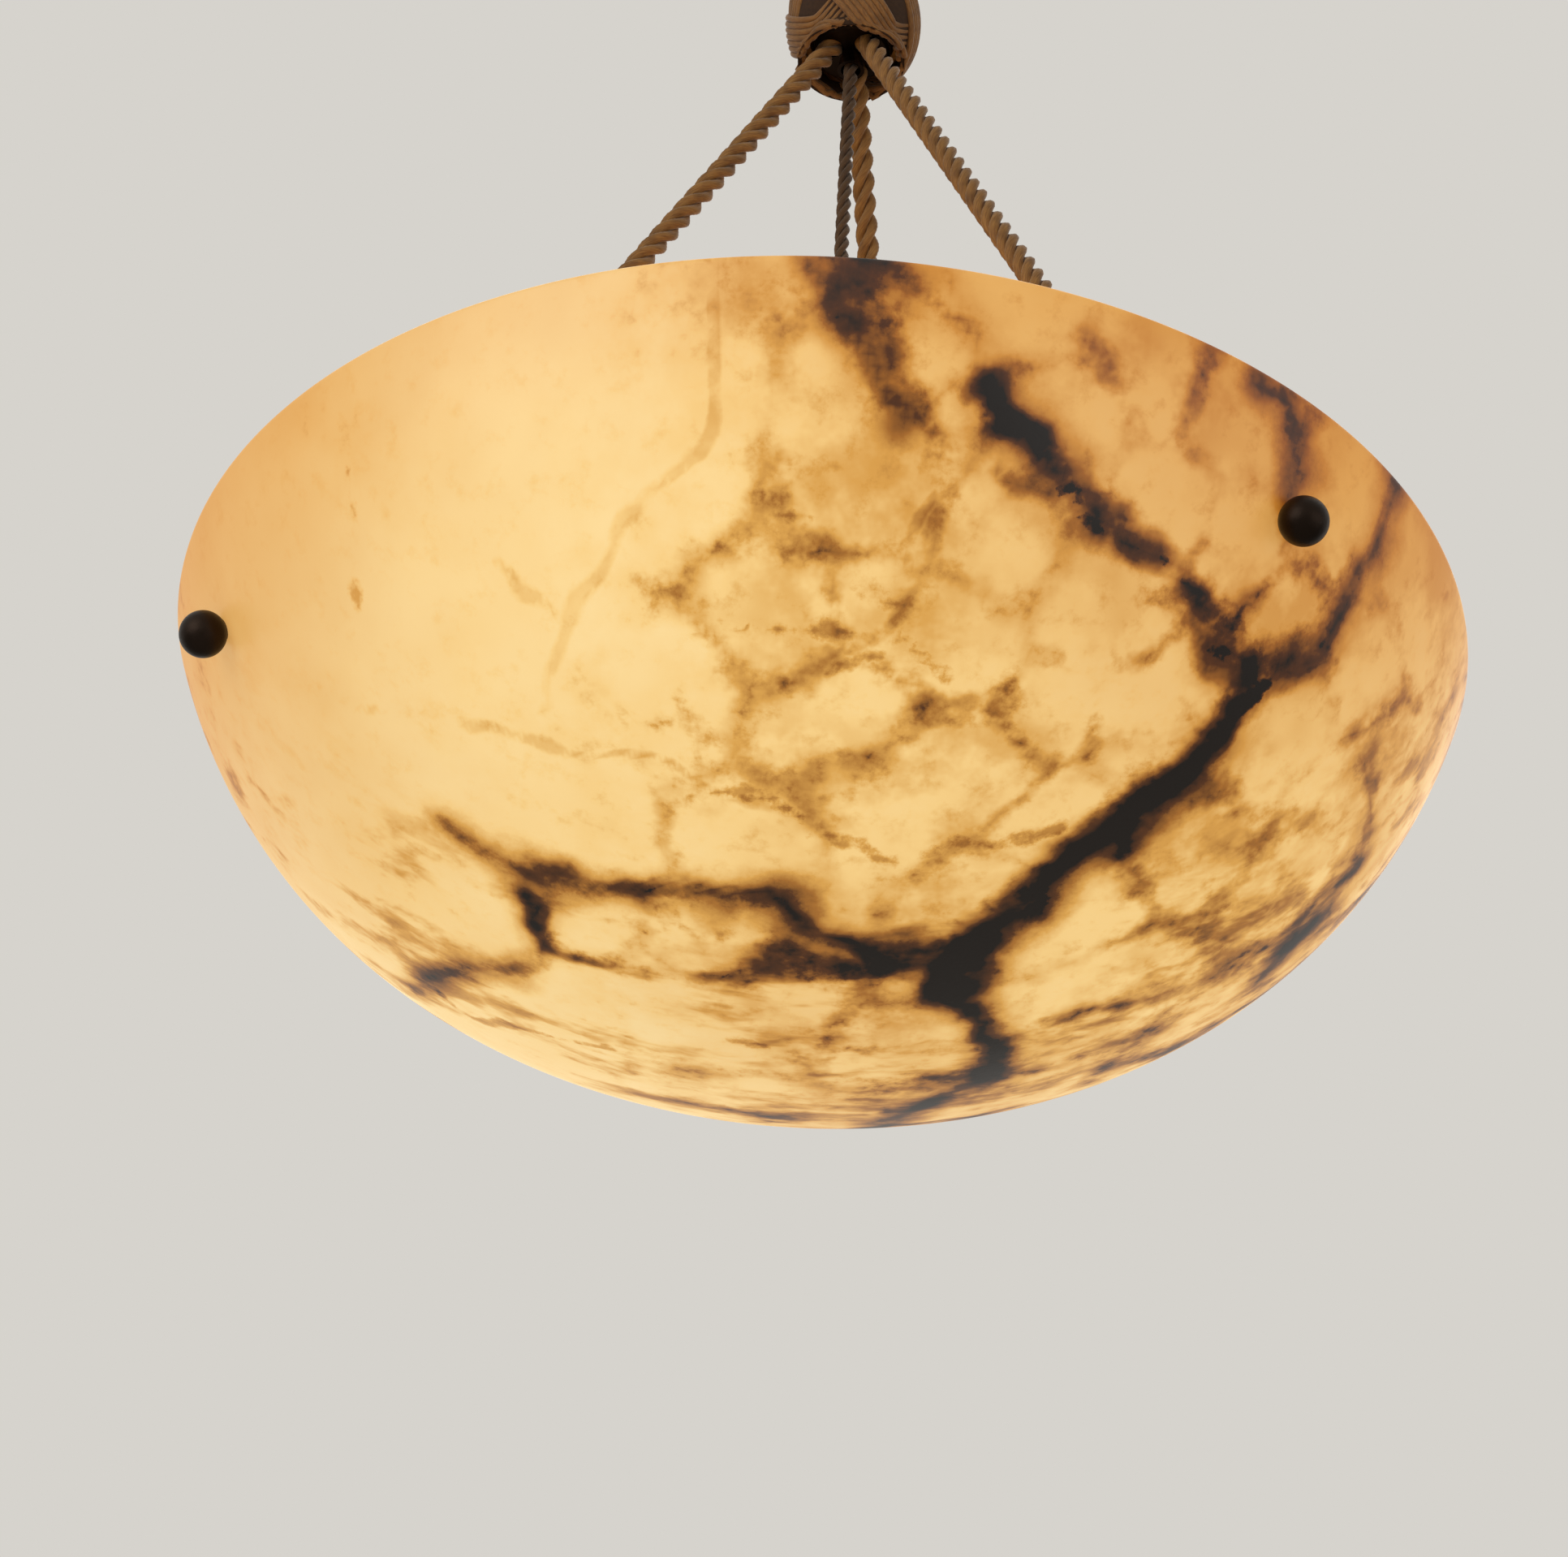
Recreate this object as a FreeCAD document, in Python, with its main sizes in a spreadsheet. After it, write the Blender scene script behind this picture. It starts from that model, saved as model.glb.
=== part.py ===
import FreeCAD, Part
import Sketcher
import math
import os
from FreeCAD import Placement, Rotation, Vector

# Alabaster bowl pendant: a carved bowl hung by three ropes from a wound knob, on one
# thick rope from a hook inside a ceiling canopy. Millimetres, +Z up, and the origin is
# the middle of the ceiling strap's fixing slots, on the ceiling.

doc = FreeCAD.newDocument("alabaster_bowl_pendant")

# ---------------------------------------------------------------- driving dimensions
SIZES = {
    # ceiling strap: a bent steel strip with a leg down each end
    "strap_width": 22.0, "strap_gauge": 2.5, "strap_leg": 15.0,
    "strap_dip": 9.0, "strap_step_in": 18.0, "strap_step_out": 27.0,
    "slot_spacing": 80.0, "slot_length": 12.0, "slot_width": 4.5, "tab_gap": 1.0,
    # ceiling hook, its nuts and the hanging ring
    "hook_wire": 3.0, "hook_bend": 9.0, "hook_neck": 6.0, "hook_shank": 11.0,
    "hook_tip": 35.0, "thread_radius": 4.0, "hook_hole_gap": 0.2, "hook_top_gap": 1.5,
    "nut_flat": 13.0, "nut_height": 5.0, "ring_wire": 2.5, "ring_bend": 9.0,
    "eye_wire": 2.5, "eye_bend": 6.5, "eye_sunk": 0.4, "link_gap": 0.05,
    # canopy and its screws
    "canopy_radius": 58.0, "canopy_depth": 96.0, "canopy_wall": 1.2, "canopy_skirt": 18.0,
    "canopy_neck": 25.0, "canopy_mouth": 15.5, "canopy_sweep": 72.0, "canopy_foot": 12.0,
    "side_screw": 2.0, "side_screw_head": 4.5, "side_screw_grip": 5.0,
    "side_screw_reach": 7.2, "side_screw_edge": 0.6, "side_screw_drop": 9.0,
    "screw_gap": 0.2,
    # terminal block
    "block_length": 27.0, "block_width": 14.0, "block_height": 10.0, "way_spacing": 8.0,
    "way_radius": 1.6, "way_depth": 6.0, "clamp_screw": 1.4, "clamp_spacing": 7.0,
    "clamp_sunk": 0.5,
    # three wires from the rope cap to the block
    "core_radius": 1.0, "core_bend": 4.8, "core_spread": 1.3, "core_entry": 5.0,
    "core_lift": 0.3, "core_rise": 11.0, "core_fan": 0.45, "wire_aside": 7.0,
    "wire_out": 19.0, "wire_low": 46.0, "wire_high": 33.0, "wire_loop": 6.5,
    # main rope with the flex as its core, and the cap that grips it
    "rope_radius": 6.0, "flex_radius": 3.0, "core_gap": 0.1, "rope_showing": 58.0,
    "cap_radius": 10.0, "cap_length": 24.0, "cap_grip": 18.0, "cap_round": 3.0,
    "entry_radius": 3.0, "entry_aside": 4.8, "entry_depth": 3.0, "entry_cut": 7.0,
    # one clearance between seated pieces, and one softened edge for turned metal
    "seat_gap": 0.1, "edge_soft": 1.0,
    # knob
    "knob_radius": 24.5, "knob_height": 44.0, "cover_depth": 2.4, "cavity_radius": 15.2,
    "cavity_depth": 29.2, "knob_above_rim": 279.0, "knob_equator": 14.0,
    "lower_swell": 18.0, "upper_swell": 48.0,
    # joint inside the knob, between the main rope and the three slings
    "socket_radius": 9.0, "socket_length": 19.0, "socket_floor": 5.8, "rope_lift": 0.2,
    "small_wire": 1.5, "small_ring": 5.5, "small_eye": 4.5,
    "gather_radius": 13.6, "gather_height": 11.0, "gather_skirt": 4.0, "gather_dome": 17.0,
    "bight_radius": 2.2, "bight_aside": 4.1, "bight_depth": 3.0, "inlet_depth": 2.0,
    "bight_gap": 0.3, "nozzle_top": 3.4, "nozzle_mouth": 4.8,
    # slings: the three ropes, and the point above the knob's foot where their axes meet
    "sling_radius": 4.15, "apex_above_knob": 12.0, "sling_start": 11.0,
    "tip_radius": 5.6, "tip_length": 18.0, "tip_grip": 14.0, "tip_nose": 2.2,
    "catch_wire": 1.6, "catch_bend": 4.4, "catch_neck": 3.2, "catch_shank": 4.0,
    "catch_tip": 40.0, "catch_sunk": 0.5,
    # bowl
    "bowl_radius": 200.0, "bowl_height": 120.0, "crown_radius": 266.0,
    "crown_angle": 29.0, "bowl_wall": 10.5, "rim_round": 2.0,
    # rope anchors through the bowl wall, and where round the bowl they are
    "hole_drop": 31.6, "hole_turn_1": -47.0, "hole_turn_2": 75.7, "hole_turn_3": 198.4,
    "bolt_hole": 3.4, "bolt_radius": 3.0, "ball_radius": 7.1, "anchor_reach": 6.2,
    "washer_lift": 0.35, "washer_radius": 9.0, "washer_height": 1.5,
    "lock_flat": 10.0, "lock_height": 4.0, "anchor_wire": 1.75, "anchor_bend": 6.5,
    # lamp lead and the grip at its foot
    "lead_radius": 2.6, "lead_in": 8.0, "bell_gap": 0.9, "lead_gap": 0.4, "lead_bore": 1.9,
    "grip_radius": 6.5, "grip_length": 22.0, "grip_flange": 8.5, "flange_height": 3.0,
    "grip_taper": 6.0,
    # lamp cluster
    "lamp_below_rim": 24.0, "lamp_count": 3.0, "lamp_turn": 13.0,
    "hub_radius": 20.0, "hub_height": 22.0, "hub_side": 6.0,
    "finial_radius": 7.0, "finial_length": 12.0, "finial_bulb": 4.2, "finial_waist": 2.8,
    "finial_collar": 1.8, "finial_cove": 4.2, "finial_drop": 8.4,
    "arm_radius": 5.0, "arm_bore": 3.5, "arm_length": 12.0,
    "holder_neck": 6.5, "cap_swell": 16.2, "holder_cap_length": 14.0,
    "holder_radius": 13.5, "holder_length": 30.0, "holder_wall": 1.6, "holder_floor": 8.0,
    "collar_start": 12.0, "collar_radius": 17.0, "collar_rim": 15.0, "collar_length": 7.0,
    "base_radius": 6.8, "base_length": 18.0, "base_seat": 1.0, "base_lip": 2.0,
    "base_taper": 2.0, "contact_radius": 3.4,
    "bulb_radius": 22.5, "bulb_length": 58.0, "neck_radius": 9.5,
}

dims = doc.addObject("Spreadsheet::Sheet", "dims")
for row, (alias, value) in enumerate(SIZES.items(), start=1):
    dims.set(f"A{row}", alias)
    dims.set(f"B{row}", str(value))
    dims.setAlias(f"B{row}", alias)
doc.recompute()


def size(alias):
    """The value of one named size, as the sheet holds it."""
    return float(dims.get(alias))


# ------------------------------------------------------- levels worked out from the sizes
# Heights along the pendant's axis, each written once as a formula on the sheet above.
LEVELS = {
    "strap_end": "sqrt((dims.canopy_radius - dims.canopy_wall - dims.seat_gap)^2"
                 " - (dims.strap_width / 2)^2)",
    "hook_centre": "-dims.strap_dip - dims.strap_gauge - dims.hook_shank"
                   " - sqrt((dims.hook_neck + dims.hook_bend)^2 - dims.hook_neck^2)",
    "hook_seat": "hook_centre - dims.hook_bend",
    "ring_centre": "hook_seat + dims.hook_wire + dims.link_gap + dims.ring_wire"
                   " - dims.ring_bend",
    "ring_seat": "ring_centre - dims.ring_bend",
    "cap_eye": "ring_seat + dims.ring_wire + dims.link_gap + dims.eye_wire - dims.eye_bend",
    "cap_top": "cap_eye - dims.eye_bend + dims.eye_wire * dims.eye_sunk",
    "rope_top": "cap_top - dims.cap_length + dims.cap_grip",
    "knob_top": "-dims.canopy_depth - dims.rope_showing",
    "knob_bottom": "knob_top - dims.knob_height",
    "rim": "knob_bottom - dims.knob_above_rim",
    "apex": "knob_bottom + dims.apex_above_knob",
    "socket_bottom": "knob_bottom + dims.cavity_depth",
    "rope_foot": "socket_bottom + dims.socket_floor + dims.rope_lift",
    "socket_eye": "socket_bottom - dims.small_eye + dims.small_wire * dims.eye_sunk",
    "socket_seat": "socket_eye - dims.small_eye",
    "gather_ring": "socket_seat + 2 * dims.small_wire + dims.link_gap - dims.small_ring",
    "gather_seat": "gather_ring - dims.small_ring",
    "gather_eye": "gather_seat + 2 * dims.small_wire + dims.link_gap - dims.small_eye",
    "gather_top": "gather_eye - dims.small_eye + dims.small_wire * dims.eye_sunk",
    "gather_bottom": "gather_top - dims.gather_height",
    "lamp": "rim - dims.lamp_below_rim",
    "hub_top": "lamp + dims.hub_height / 2",
    "grip_top": "hub_top + dims.grip_length",
    "lead_top": "gather_bottom - dims.lead_gap",
    "lead_foot": "grip_top - dims.lead_in + dims.lead_gap",
    # bowl profile: a crown arc and a shoulder arc that meet smoothly, seen from the rim
    "crown_sin": "sin(dims.crown_angle * 1deg)",
    "crown_cos": "cos(dims.crown_angle * 1deg)",
    "arc_shift": "(dims.bowl_radius^2 + (dims.bowl_height - dims.crown_radius)^2"
                 " - dims.crown_radius^2) / (2 * dims.bowl_radius * crown_sin"
                 " - 2 * (dims.bowl_height - dims.crown_radius) * crown_cos"
                 " - 2 * dims.crown_radius)",
    "crown_inner": "dims.crown_radius - dims.bowl_wall",
    "shoulder": "dims.crown_radius - arc_shift",
    "shoulder_inner": "shoulder - dims.bowl_wall",
    "crown_z": "dims.crown_radius - dims.bowl_height",
    "shoulder_r": "arc_shift * crown_sin",
    "shoulder_z": "crown_z - arc_shift * crown_cos",
    "rim_inner": "shoulder_r + sqrt(shoulder_inner^2 - shoulder_z^2)",
    # wall of the bowl where the holes are: radius out, and the wall's normal there
    "hole_r": "shoulder_r + sqrt(shoulder^2 - (shoulder_z + dims.hole_drop)^2)",
    "hole_out": "(hole_r - shoulder_r) / shoulder",
    "hole_down": "(shoulder_z + dims.hole_drop) / shoulder",
    # anchor: its ball stands on the hole's mouth outside, and its ring ends inside,
    # measured inwards from the outside of the wall
    "ball_stand": "sqrt(dims.ball_radius^2 - dims.bolt_hole^2) + dims.seat_gap",
    "ball_foot": "ball_stand - sqrt(dims.ball_radius^2 - dims.bolt_radius^2)",
    "anchor_ring": "dims.bowl_wall + dims.washer_height + dims.lock_height"
                   " + dims.anchor_reach + dims.anchor_bend + dims.anchor_wire",
    "anchor_pull": "anchor_ring + dims.anchor_bend",
    "pull_r": "hole_r - anchor_pull * hole_out",
    "pull_z": "anchor_pull * hole_down - dims.hole_drop",
    "sling_reach": "sqrt(pull_r^2 + (dims.knob_above_rim + dims.apex_above_knob - pull_z)^2)",
    "sling_lean": "pull_r / sling_reach",
    # along a sling's axis, counted down from the apex
    "catch_centre": "sling_reach + dims.anchor_wire + dims.catch_wire + dims.link_gap"
                    " - dims.catch_bend",
    "catch_top": "catch_centre - dims.catch_shank"
                 " - sqrt((dims.catch_neck + dims.catch_bend)^2 - dims.catch_neck^2)",
    "sling_end": "catch_top - dims.tip_length + dims.tip_grip",
    # knob
    "core_lower": "dims.lower_swell - dims.cover_depth - dims.seat_gap",
    "core_upper": "dims.upper_swell - dims.cover_depth - dims.seat_gap",
    "cover_lower": "dims.lower_swell - dims.cover_depth",
    "cover_upper": "dims.upper_swell - dims.cover_depth",
    "knob_crown": "dims.knob_height - dims.knob_equator",
    # lamps, measured out from the hub's axis
    "cap_start": "dims.hub_radius + dims.arm_length",
    "holder_start": "cap_start + dims.holder_cap_length",
    "base_start": "holder_start + dims.holder_floor",
    "glass_start": "base_start + dims.base_length",
    "glass_tip": "glass_start + dims.bulb_length",
    "collar_foot": "holder_start + dims.collar_start",
}
levels = doc.addObject("Spreadsheet::Sheet", "levels")
for row, (alias, formula) in enumerate(LEVELS.items(), start=1):
    levels.set(f"A{row}", alias)
    levels.set(f"B{row}", "=" + formula)
    levels.setAlias(f"B{row}", alias)
doc.recompute()


def level(alias):
    """One worked-out height along the axis."""
    return float(levels.get(alias))


# ------------------------------------------------------------------------- small helpers
parts = {}


def keep(node, thing):
    """Name a finished sub-part and list it for writing."""
    thing.Label = node
    parts[node] = thing
    return thing


def named_value(expression):
    """The number behind one plain reference such as dims.bowl_wall."""
    sheet, alias = expression.split(".")
    return float({"dims": dims, "levels": levels}[sheet].get(alias))


def origin_plane(body, role):
    return next(f for f in body.Origin.OriginFeatures if f.Role == role)


def outlined_sketch(body, name, corners):
    """A closed outline in the body's XZ plane. Each corner is (x, z) in expressions of
    the sheets; a third entry makes the edge that arrives there an arc of that radius,
    with its centre to the left of the way round, or to the right after a minus sign."""
    sketch = body.newObject("Sketcher::SketchObject", name)
    sketch.AttachmentSupport = [(origin_plane(body, "XZ_Plane"), "")]
    sketch.MapMode = "FlatFace"
    for index, corner in enumerate(corners):
        sketch.addGeometry(Part.Point(Vector(index, index, 0)), True)
        for kind, expression in zip(("DistanceX", "DistanceY"), corner):
            rule = sketch.addConstraint(Sketcher.Constraint(kind, index, 1, float(index)))
            sketch.setExpression(f"Constraints[{rule}]", expression)
    sketch.recompute()
    places = [sketch.getPoint(index, 1) for index in range(len(corners))]
    for index, corner in enumerate(corners):
        before = (index - 1) % len(corners)
        start, end = places[before], places[index]
        first, last = 1, 2
        if len(corner) == 2:
            edge = sketch.addGeometry(Part.LineSegment(start, end), False)
        else:
            right = corner[2].startswith("-")
            radius = named_value(corner[2].strip("-"))
            if right:
                start, end = end, start
                first, last = 2, 1
            edge = sketch.addGeometry(turning_arc(start, end, radius), False)
            rule = sketch.addConstraint(Sketcher.Constraint("Radius", edge, radius))
            sketch.setExpression(f"Constraints[{rule}]", corner[2].strip("-"))
        sketch.addConstraint(Sketcher.Constraint("Coincident", edge, first, before, 1))
        sketch.addConstraint(Sketcher.Constraint("Coincident", edge, last, index, 1))
    return sketch


def turning_arc(start, end, radius):
    """The shorter arc from start to end that turns to the left."""
    chord = end - start
    across = Vector(-chord.y, chord.x, 0).normalize()
    centre = (start + end) / 2 + across * math.sqrt(radius ** 2 - chord.Length ** 2 / 4)
    first, last = (math.atan2(point.y - centre.y, point.x - centre.x)
                   for point in (start, end))
    if last < first:
        last += 2 * math.pi
    return Part.ArcOfCircle(Part.Circle(centre, Vector(0, 0, 1), radius), first, last)


def turned_body(name, profile):
    """A body of revolution about its own Z, from corners (r, z)."""
    body = doc.addObject("PartDesign::Body", name)
    sketch = outlined_sketch(body, name + "_profile", profile)
    turn = body.newObject("PartDesign::Revolution", name + "_turning")
    turn.Profile = sketch
    turn.ReferenceAxis = (sketch, ["V_Axis"])
    turn.Angle = 360
    body.recompute(True)
    return body


def raise_to(thing, expression):
    """Tie a piece's height on the axis to the sheets."""
    thing.setExpression("Placement.Base.z", expression)
    return thing


def ring(name, radius, wire, height, axis):
    """A closed round link on the pendant's axis. Its own axis is horizontal."""
    torus = doc.addObject("Part::Torus", name)
    torus.setExpression("Radius1", radius)
    torus.setExpression("Radius2", wire)
    torus.Placement.Rotation = Rotation(Vector(0, 0, 1), axis)
    return raise_to(torus, height)


def joined(name, pieces):
    fuse = doc.addObject("Part::MultiFuse", name)
    fuse.Shapes = pieces
    fuse.Refine = False
    return fuse


def cut_from(name, base, tools):
    """The base less every tool."""
    cut = doc.addObject("Part::Cut", name)
    cut.Base = base
    cut.Tool = tools[0] if len(tools) == 1 else joined(name + "_tools", tools)
    return cut


def rod(name, radius, length, placement=None):
    """A straight round rod or drill from its placement along its own Z."""
    cylinder = doc.addObject("Part::Cylinder", name)
    cylinder.setExpression("Radius", radius)
    cylinder.setExpression("Height", length)
    if placement:
        cylinder.Placement = placement
    return cylinder


def bent_wire(edges, radius):
    """A round wire of the given radius swept along smoothly joined edges."""
    path = Part.Wire(edges)
    start = edges[0].valueAt(edges[0].FirstParameter)
    heading = edges[0].tangentAt(edges[0].FirstParameter)
    section = Part.Wire(Part.makeCircle(radius, start, heading))
    return path.makePipeShell([section], True, False)


def rounded_route(points, bend):
    """Straight runs through the points, joined by tangent arcs of one bend radius."""
    edges = []
    here = points[0]
    for before, corner, after in zip(points, points[1:], points[2:]):
        back = (before - corner).normalize()
        ahead = (after - corner).normalize()
        half = back.getAngle(ahead) / 2
        reach = bend / math.tan(half)
        start = corner + back * reach
        end = corner + ahead * reach
        middle = (back + ahead).normalize() * (bend / math.sin(half) - bend) + corner
        edges.append(Part.LineSegment(here, start).toShape())
        edges.append(Part.Arc(start, middle, end).toShape())
        here = end
    edges.append(Part.LineSegment(here, points[-1]).toShape())
    return edges


def hook_edges(shank, neck, bend, tip_angle):
    """The line of a round hook: down the shank, out round the neck, and back under so
    that the middle of the bend lies below the shank."""
    turn = math.acos(neck / (neck + bend))
    drop = (neck + bend) * math.sin(turn)
    foot = Vector(0, 0, -shank)
    half_way = Vector(-neck + neck * math.cos(turn / 2), 0, -shank - neck * math.sin(turn / 2))
    meet = Vector(-neck + neck * math.cos(turn), 0, -shank - neck * math.sin(turn))
    centre = Vector(0, 0, -shank - drop)
    under = centre - Vector(0, 0, bend)
    tip = centre + Vector(bend * math.cos(tip_angle), 0, bend * math.sin(tip_angle))
    return [Part.LineSegment(Vector(0, 0, 0), foot).toShape(),
            Part.Arc(foot, half_way, meet).toShape(),
            Part.Arc(meet, under, tip).toShape()]


def solid_feature(name, shape, placement=None):
    feature = doc.addObject("Part::Feature", name)
    feature.Shape = shape
    if placement:
        feature.Placement = placement
    return feature


def hex_nut(flats, height, bore):
    """A hexagon nut with its corners turned off at both faces."""
    corner = flats / math.sqrt(3)
    outline = [Vector(corner * math.cos(math.radians(60 * side)),
                      corner * math.sin(math.radians(60 * side)), 0) for side in range(7)]
    blank = Part.Face(Part.makePolygon(outline)).extrude(Vector(0, 0, height))
    turned = Part.makeCylinder(corner, height)
    turned = turned.makeChamfer(height / 8, turned.Edges[0:1] + turned.Edges[2:3])
    return blank.common(turned).cut(Part.makeCylinder(bore, height))


# =========================================================== ceiling strap and its hook
# A steel strip bent like a low hat: its two shoulders lie on the ceiling with a slot in
# each, its middle dips to leave room for a nut, and its ends turn down as legs.
def ceiling_strap():
    body = doc.addObject("PartDesign::Body", "strap_body")
    end, out, inner = "levels.strap_end", "dims.strap_step_out", "dims.strap_step_in"
    leg, dip, gauge = "-dims.strap_leg", "-dims.strap_dip", "dims.strap_gauge"
    outline = [(end, leg), (end, "0"), (out, "0"), (inner, dip),
               ("-" + inner, dip), ("-" + out, "0"), ("-" + end, "0"), ("-" + end, leg),
               (f"{gauge} - {end}", leg), (f"{gauge} - {end}", "-" + gauge),
               ("-" + out, "-" + gauge), ("-" + inner, f"{dip} - {gauge}"),
               (inner, f"{dip} - {gauge}"), (out, "-" + gauge),
               (f"{end} - {gauge}", "-" + gauge), (f"{end} - {gauge}", leg)]
    sketch = outlined_sketch(body, "strap_profile", outline)
    pad = body.newObject("PartDesign::Pad", "strap_width_pad")
    pad.Profile = sketch
    pad.SideType = "Symmetric"
    pad.setExpression("Length", "dims.strap_width")
    body.recompute(True)

    # a tab on one side of the dip carries the terminal block
    tab = doc.addObject("Part::Box", "block_tab")
    tab.setExpression("Length", "dims.block_length")
    tab.setExpression("Width", "dims.block_width + 2 * dims.tab_gap")
    tab.setExpression("Height", "dims.strap_gauge")
    tab.setExpression("Placement.Base.x", "-dims.block_length / 2")
    tab.setExpression("Placement.Base.y", "dims.strap_width / 2 - dims.tab_gap")
    tab.setExpression("Placement.Base.z", "-dims.strap_dip - dims.strap_gauge")
    plate = joined("strap_plate", [body, tab])

    # cutters: the two slots, the hook's hole, and the holes in the legs
    cutters = [rod("hook_hole", "dims.thread_radius + dims.hook_hole_gap", "dims.strap_dip * 3")]
    cutters[0].setExpression("Placement.Base.z", "-dims.strap_dip * 2")
    for side in (-1, 1):
        slot = doc.addObject("Part::Box", "slot")
        slot.setExpression("Length", "dims.slot_length - dims.slot_width")
        slot.setExpression("Width", "dims.slot_width")
        slot.setExpression("Height", "dims.strap_gauge * 3")
        slot.setExpression("Placement.Base.x", f"{side} * dims.slot_spacing / 2"
                                               " - (dims.slot_length - dims.slot_width) / 2")
        slot.setExpression("Placement.Base.y", "-dims.slot_width / 2")
        slot.setExpression("Placement.Base.z", "-dims.strap_gauge * 2")
        cutters.append(slot)
        for end_side in (-1, 1):
            end_round = rod("slot_end", "dims.slot_width / 2", "dims.strap_gauge * 3")
            end_round.setExpression(
                "Placement.Base.x", f"{side} * dims.slot_spacing / 2"
                f" + {end_side} * (dims.slot_length - dims.slot_width) / 2")
            end_round.setExpression("Placement.Base.z", "-dims.strap_gauge * 2")
            cutters.append(end_round)
    cutters.append(side_drill("leg_hole", "dims.side_screw + dims.seat_gap / 2"))
    return keep("mounting_strap", cut_from("strap_cut", plate, cutters))


def side_drill(name, radius):
    """A drill right across the canopy along X, at the height of the side screws."""
    drill = rod(name, radius, "dims.canopy_radius * 4",
                Placement(Vector(0, 0, 0), Rotation(Vector(0, 1, 0), 90)))
    drill.setExpression("Placement.Base.x", "-dims.canopy_radius * 2")
    drill.setExpression("Placement.Base.z", "-dims.side_screw_drop")
    return drill


ceiling_strap()

# The hook: a threaded shank through the dip, bent under into an open round hook.
shank_length = (size("strap_dip") + size("strap_gauge") + size("hook_shank")
                - size("hook_top_gap"))
hook_shape = bent_wire(hook_edges(shank_length, size("hook_neck"), size("hook_bend"),
                                  math.radians(size("hook_tip"))), size("hook_wire"))
thread = Part.makeCylinder(size("thread_radius"), shank_length - size("hook_shank") / 2,
                           Vector(0, 0, -shank_length + size("hook_shank") / 2))
keep("ceiling_hook", solid_feature("hook_form", hook_shape.fuse(thread),
                                   Placement(Vector(0, 0, -size("hook_top_gap")), Rotation())))

# Two nuts lock the hook's shank, one above the dip and one below it.
nut = hex_nut(size("nut_flat"), size("nut_height"), size("thread_radius") + size("seat_gap"))
upper_nut = nut.translated(Vector(0, 0, -size("strap_dip")))
lower_nut = nut.translated(Vector(0, 0, -size("strap_dip") - size("strap_gauge")
                                  - size("nut_height")))
keep("hook_nuts", solid_feature("hook_nut_pair", Part.Compound([upper_nut, lower_nut])))

# ================================================================== canopy and screws
# A spun bell: a straight skirt at the ceiling, a long hollow sweep and a turned-in foot.
wall = "dims.canopy_wall"
bell = turned_body("canopy_bell", [
    (f"dims.canopy_radius - {wall}", "0"),
    (f"dims.canopy_radius - {wall}", "-dims.canopy_skirt"),
    (f"dims.canopy_neck - {wall}", f"-dims.canopy_depth + dims.canopy_foot + {wall}",
     "dims.canopy_sweep"),
    (f"dims.canopy_neck - {wall}", f"-dims.canopy_depth + {wall}"),
    ("dims.canopy_mouth", f"-dims.canopy_depth + {wall}"),
    ("dims.canopy_mouth", "-dims.canopy_depth"),
    ("dims.canopy_neck", "-dims.canopy_depth"),
    ("dims.canopy_neck", "-dims.canopy_depth + dims.canopy_foot"),
    ("dims.canopy_radius", "-dims.canopy_skirt", "-dims.canopy_sweep"),
    ("dims.canopy_radius", "0"),
])
keep("canopy", cut_from("canopy_cut", bell,
                        [side_drill("canopy_hole", "dims.side_screw + dims.screw_gap")]))

# Two knurled screws hold the canopy to the strap's legs.
screw_solids = []
for side in (-1, 1):
    away = Vector(side, 0, 0)
    face = Vector(side * size("canopy_radius"), 0, -size("side_screw_drop"))
    stem = Part.makeCylinder(size("side_screw"), size("side_screw_reach"), face, away * -1)
    head = Part.makeCylinder(size("side_screw_head"), size("side_screw_grip"), face, away)
    head = head.makeChamfer(size("side_screw_edge"), [head.Edges[0], head.Edges[2]])
    screw_solids.append(stem.fuse(head))
keep("canopy_screws", solid_feature("canopy_screw_pair", Part.Compound(screw_solids)))

# =============================================== terminal block under the strap's tab
block_near = size("strap_width") / 2 + size("tab_gap")
block_top = -size("strap_dip") - size("strap_gauge")
block = Part.makeBox(size("block_length"), size("block_width"), size("block_height"),
                     Vector(-size("block_length") / 2, block_near,
                            block_top - size("block_height")))
way_level = block_top - size("way_depth")
screws = []
for way in (-1, 0, 1):
    across = way * size("way_spacing")
    block = block.cut(Part.makeCylinder(size("way_radius"), size("block_width") * 2,
                                        Vector(across, block_near - size("block_width") / 2,
                                               way_level), Vector(0, 1, 0)))
    for step in (-1, 1):
        seat = Vector(across, block_near + size("block_width") / 2
                      + step * size("clamp_spacing") / 2, block_top - size("block_height"))
        depth = size("block_height") - size("way_depth") - size("way_radius")
        well = Part.makeCylinder(size("clamp_screw") + size("seat_gap"), depth, seat)
        block = block.cut(well)
        screws.append(Part.makeCylinder(size("clamp_screw"), depth - size("clamp_sunk"), seat))
keep("terminal_block", solid_feature("block_form", block))
keep("terminal_screws", solid_feature("screw_set", Part.Compound(screws)))

# ============================================================ ring, cap and main rope
keep("hanger_ring", ring("hanger_link", "dims.ring_bend", "dims.ring_wire",
                         "levels.ring_centre", Vector(1, 0, 0)))

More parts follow.
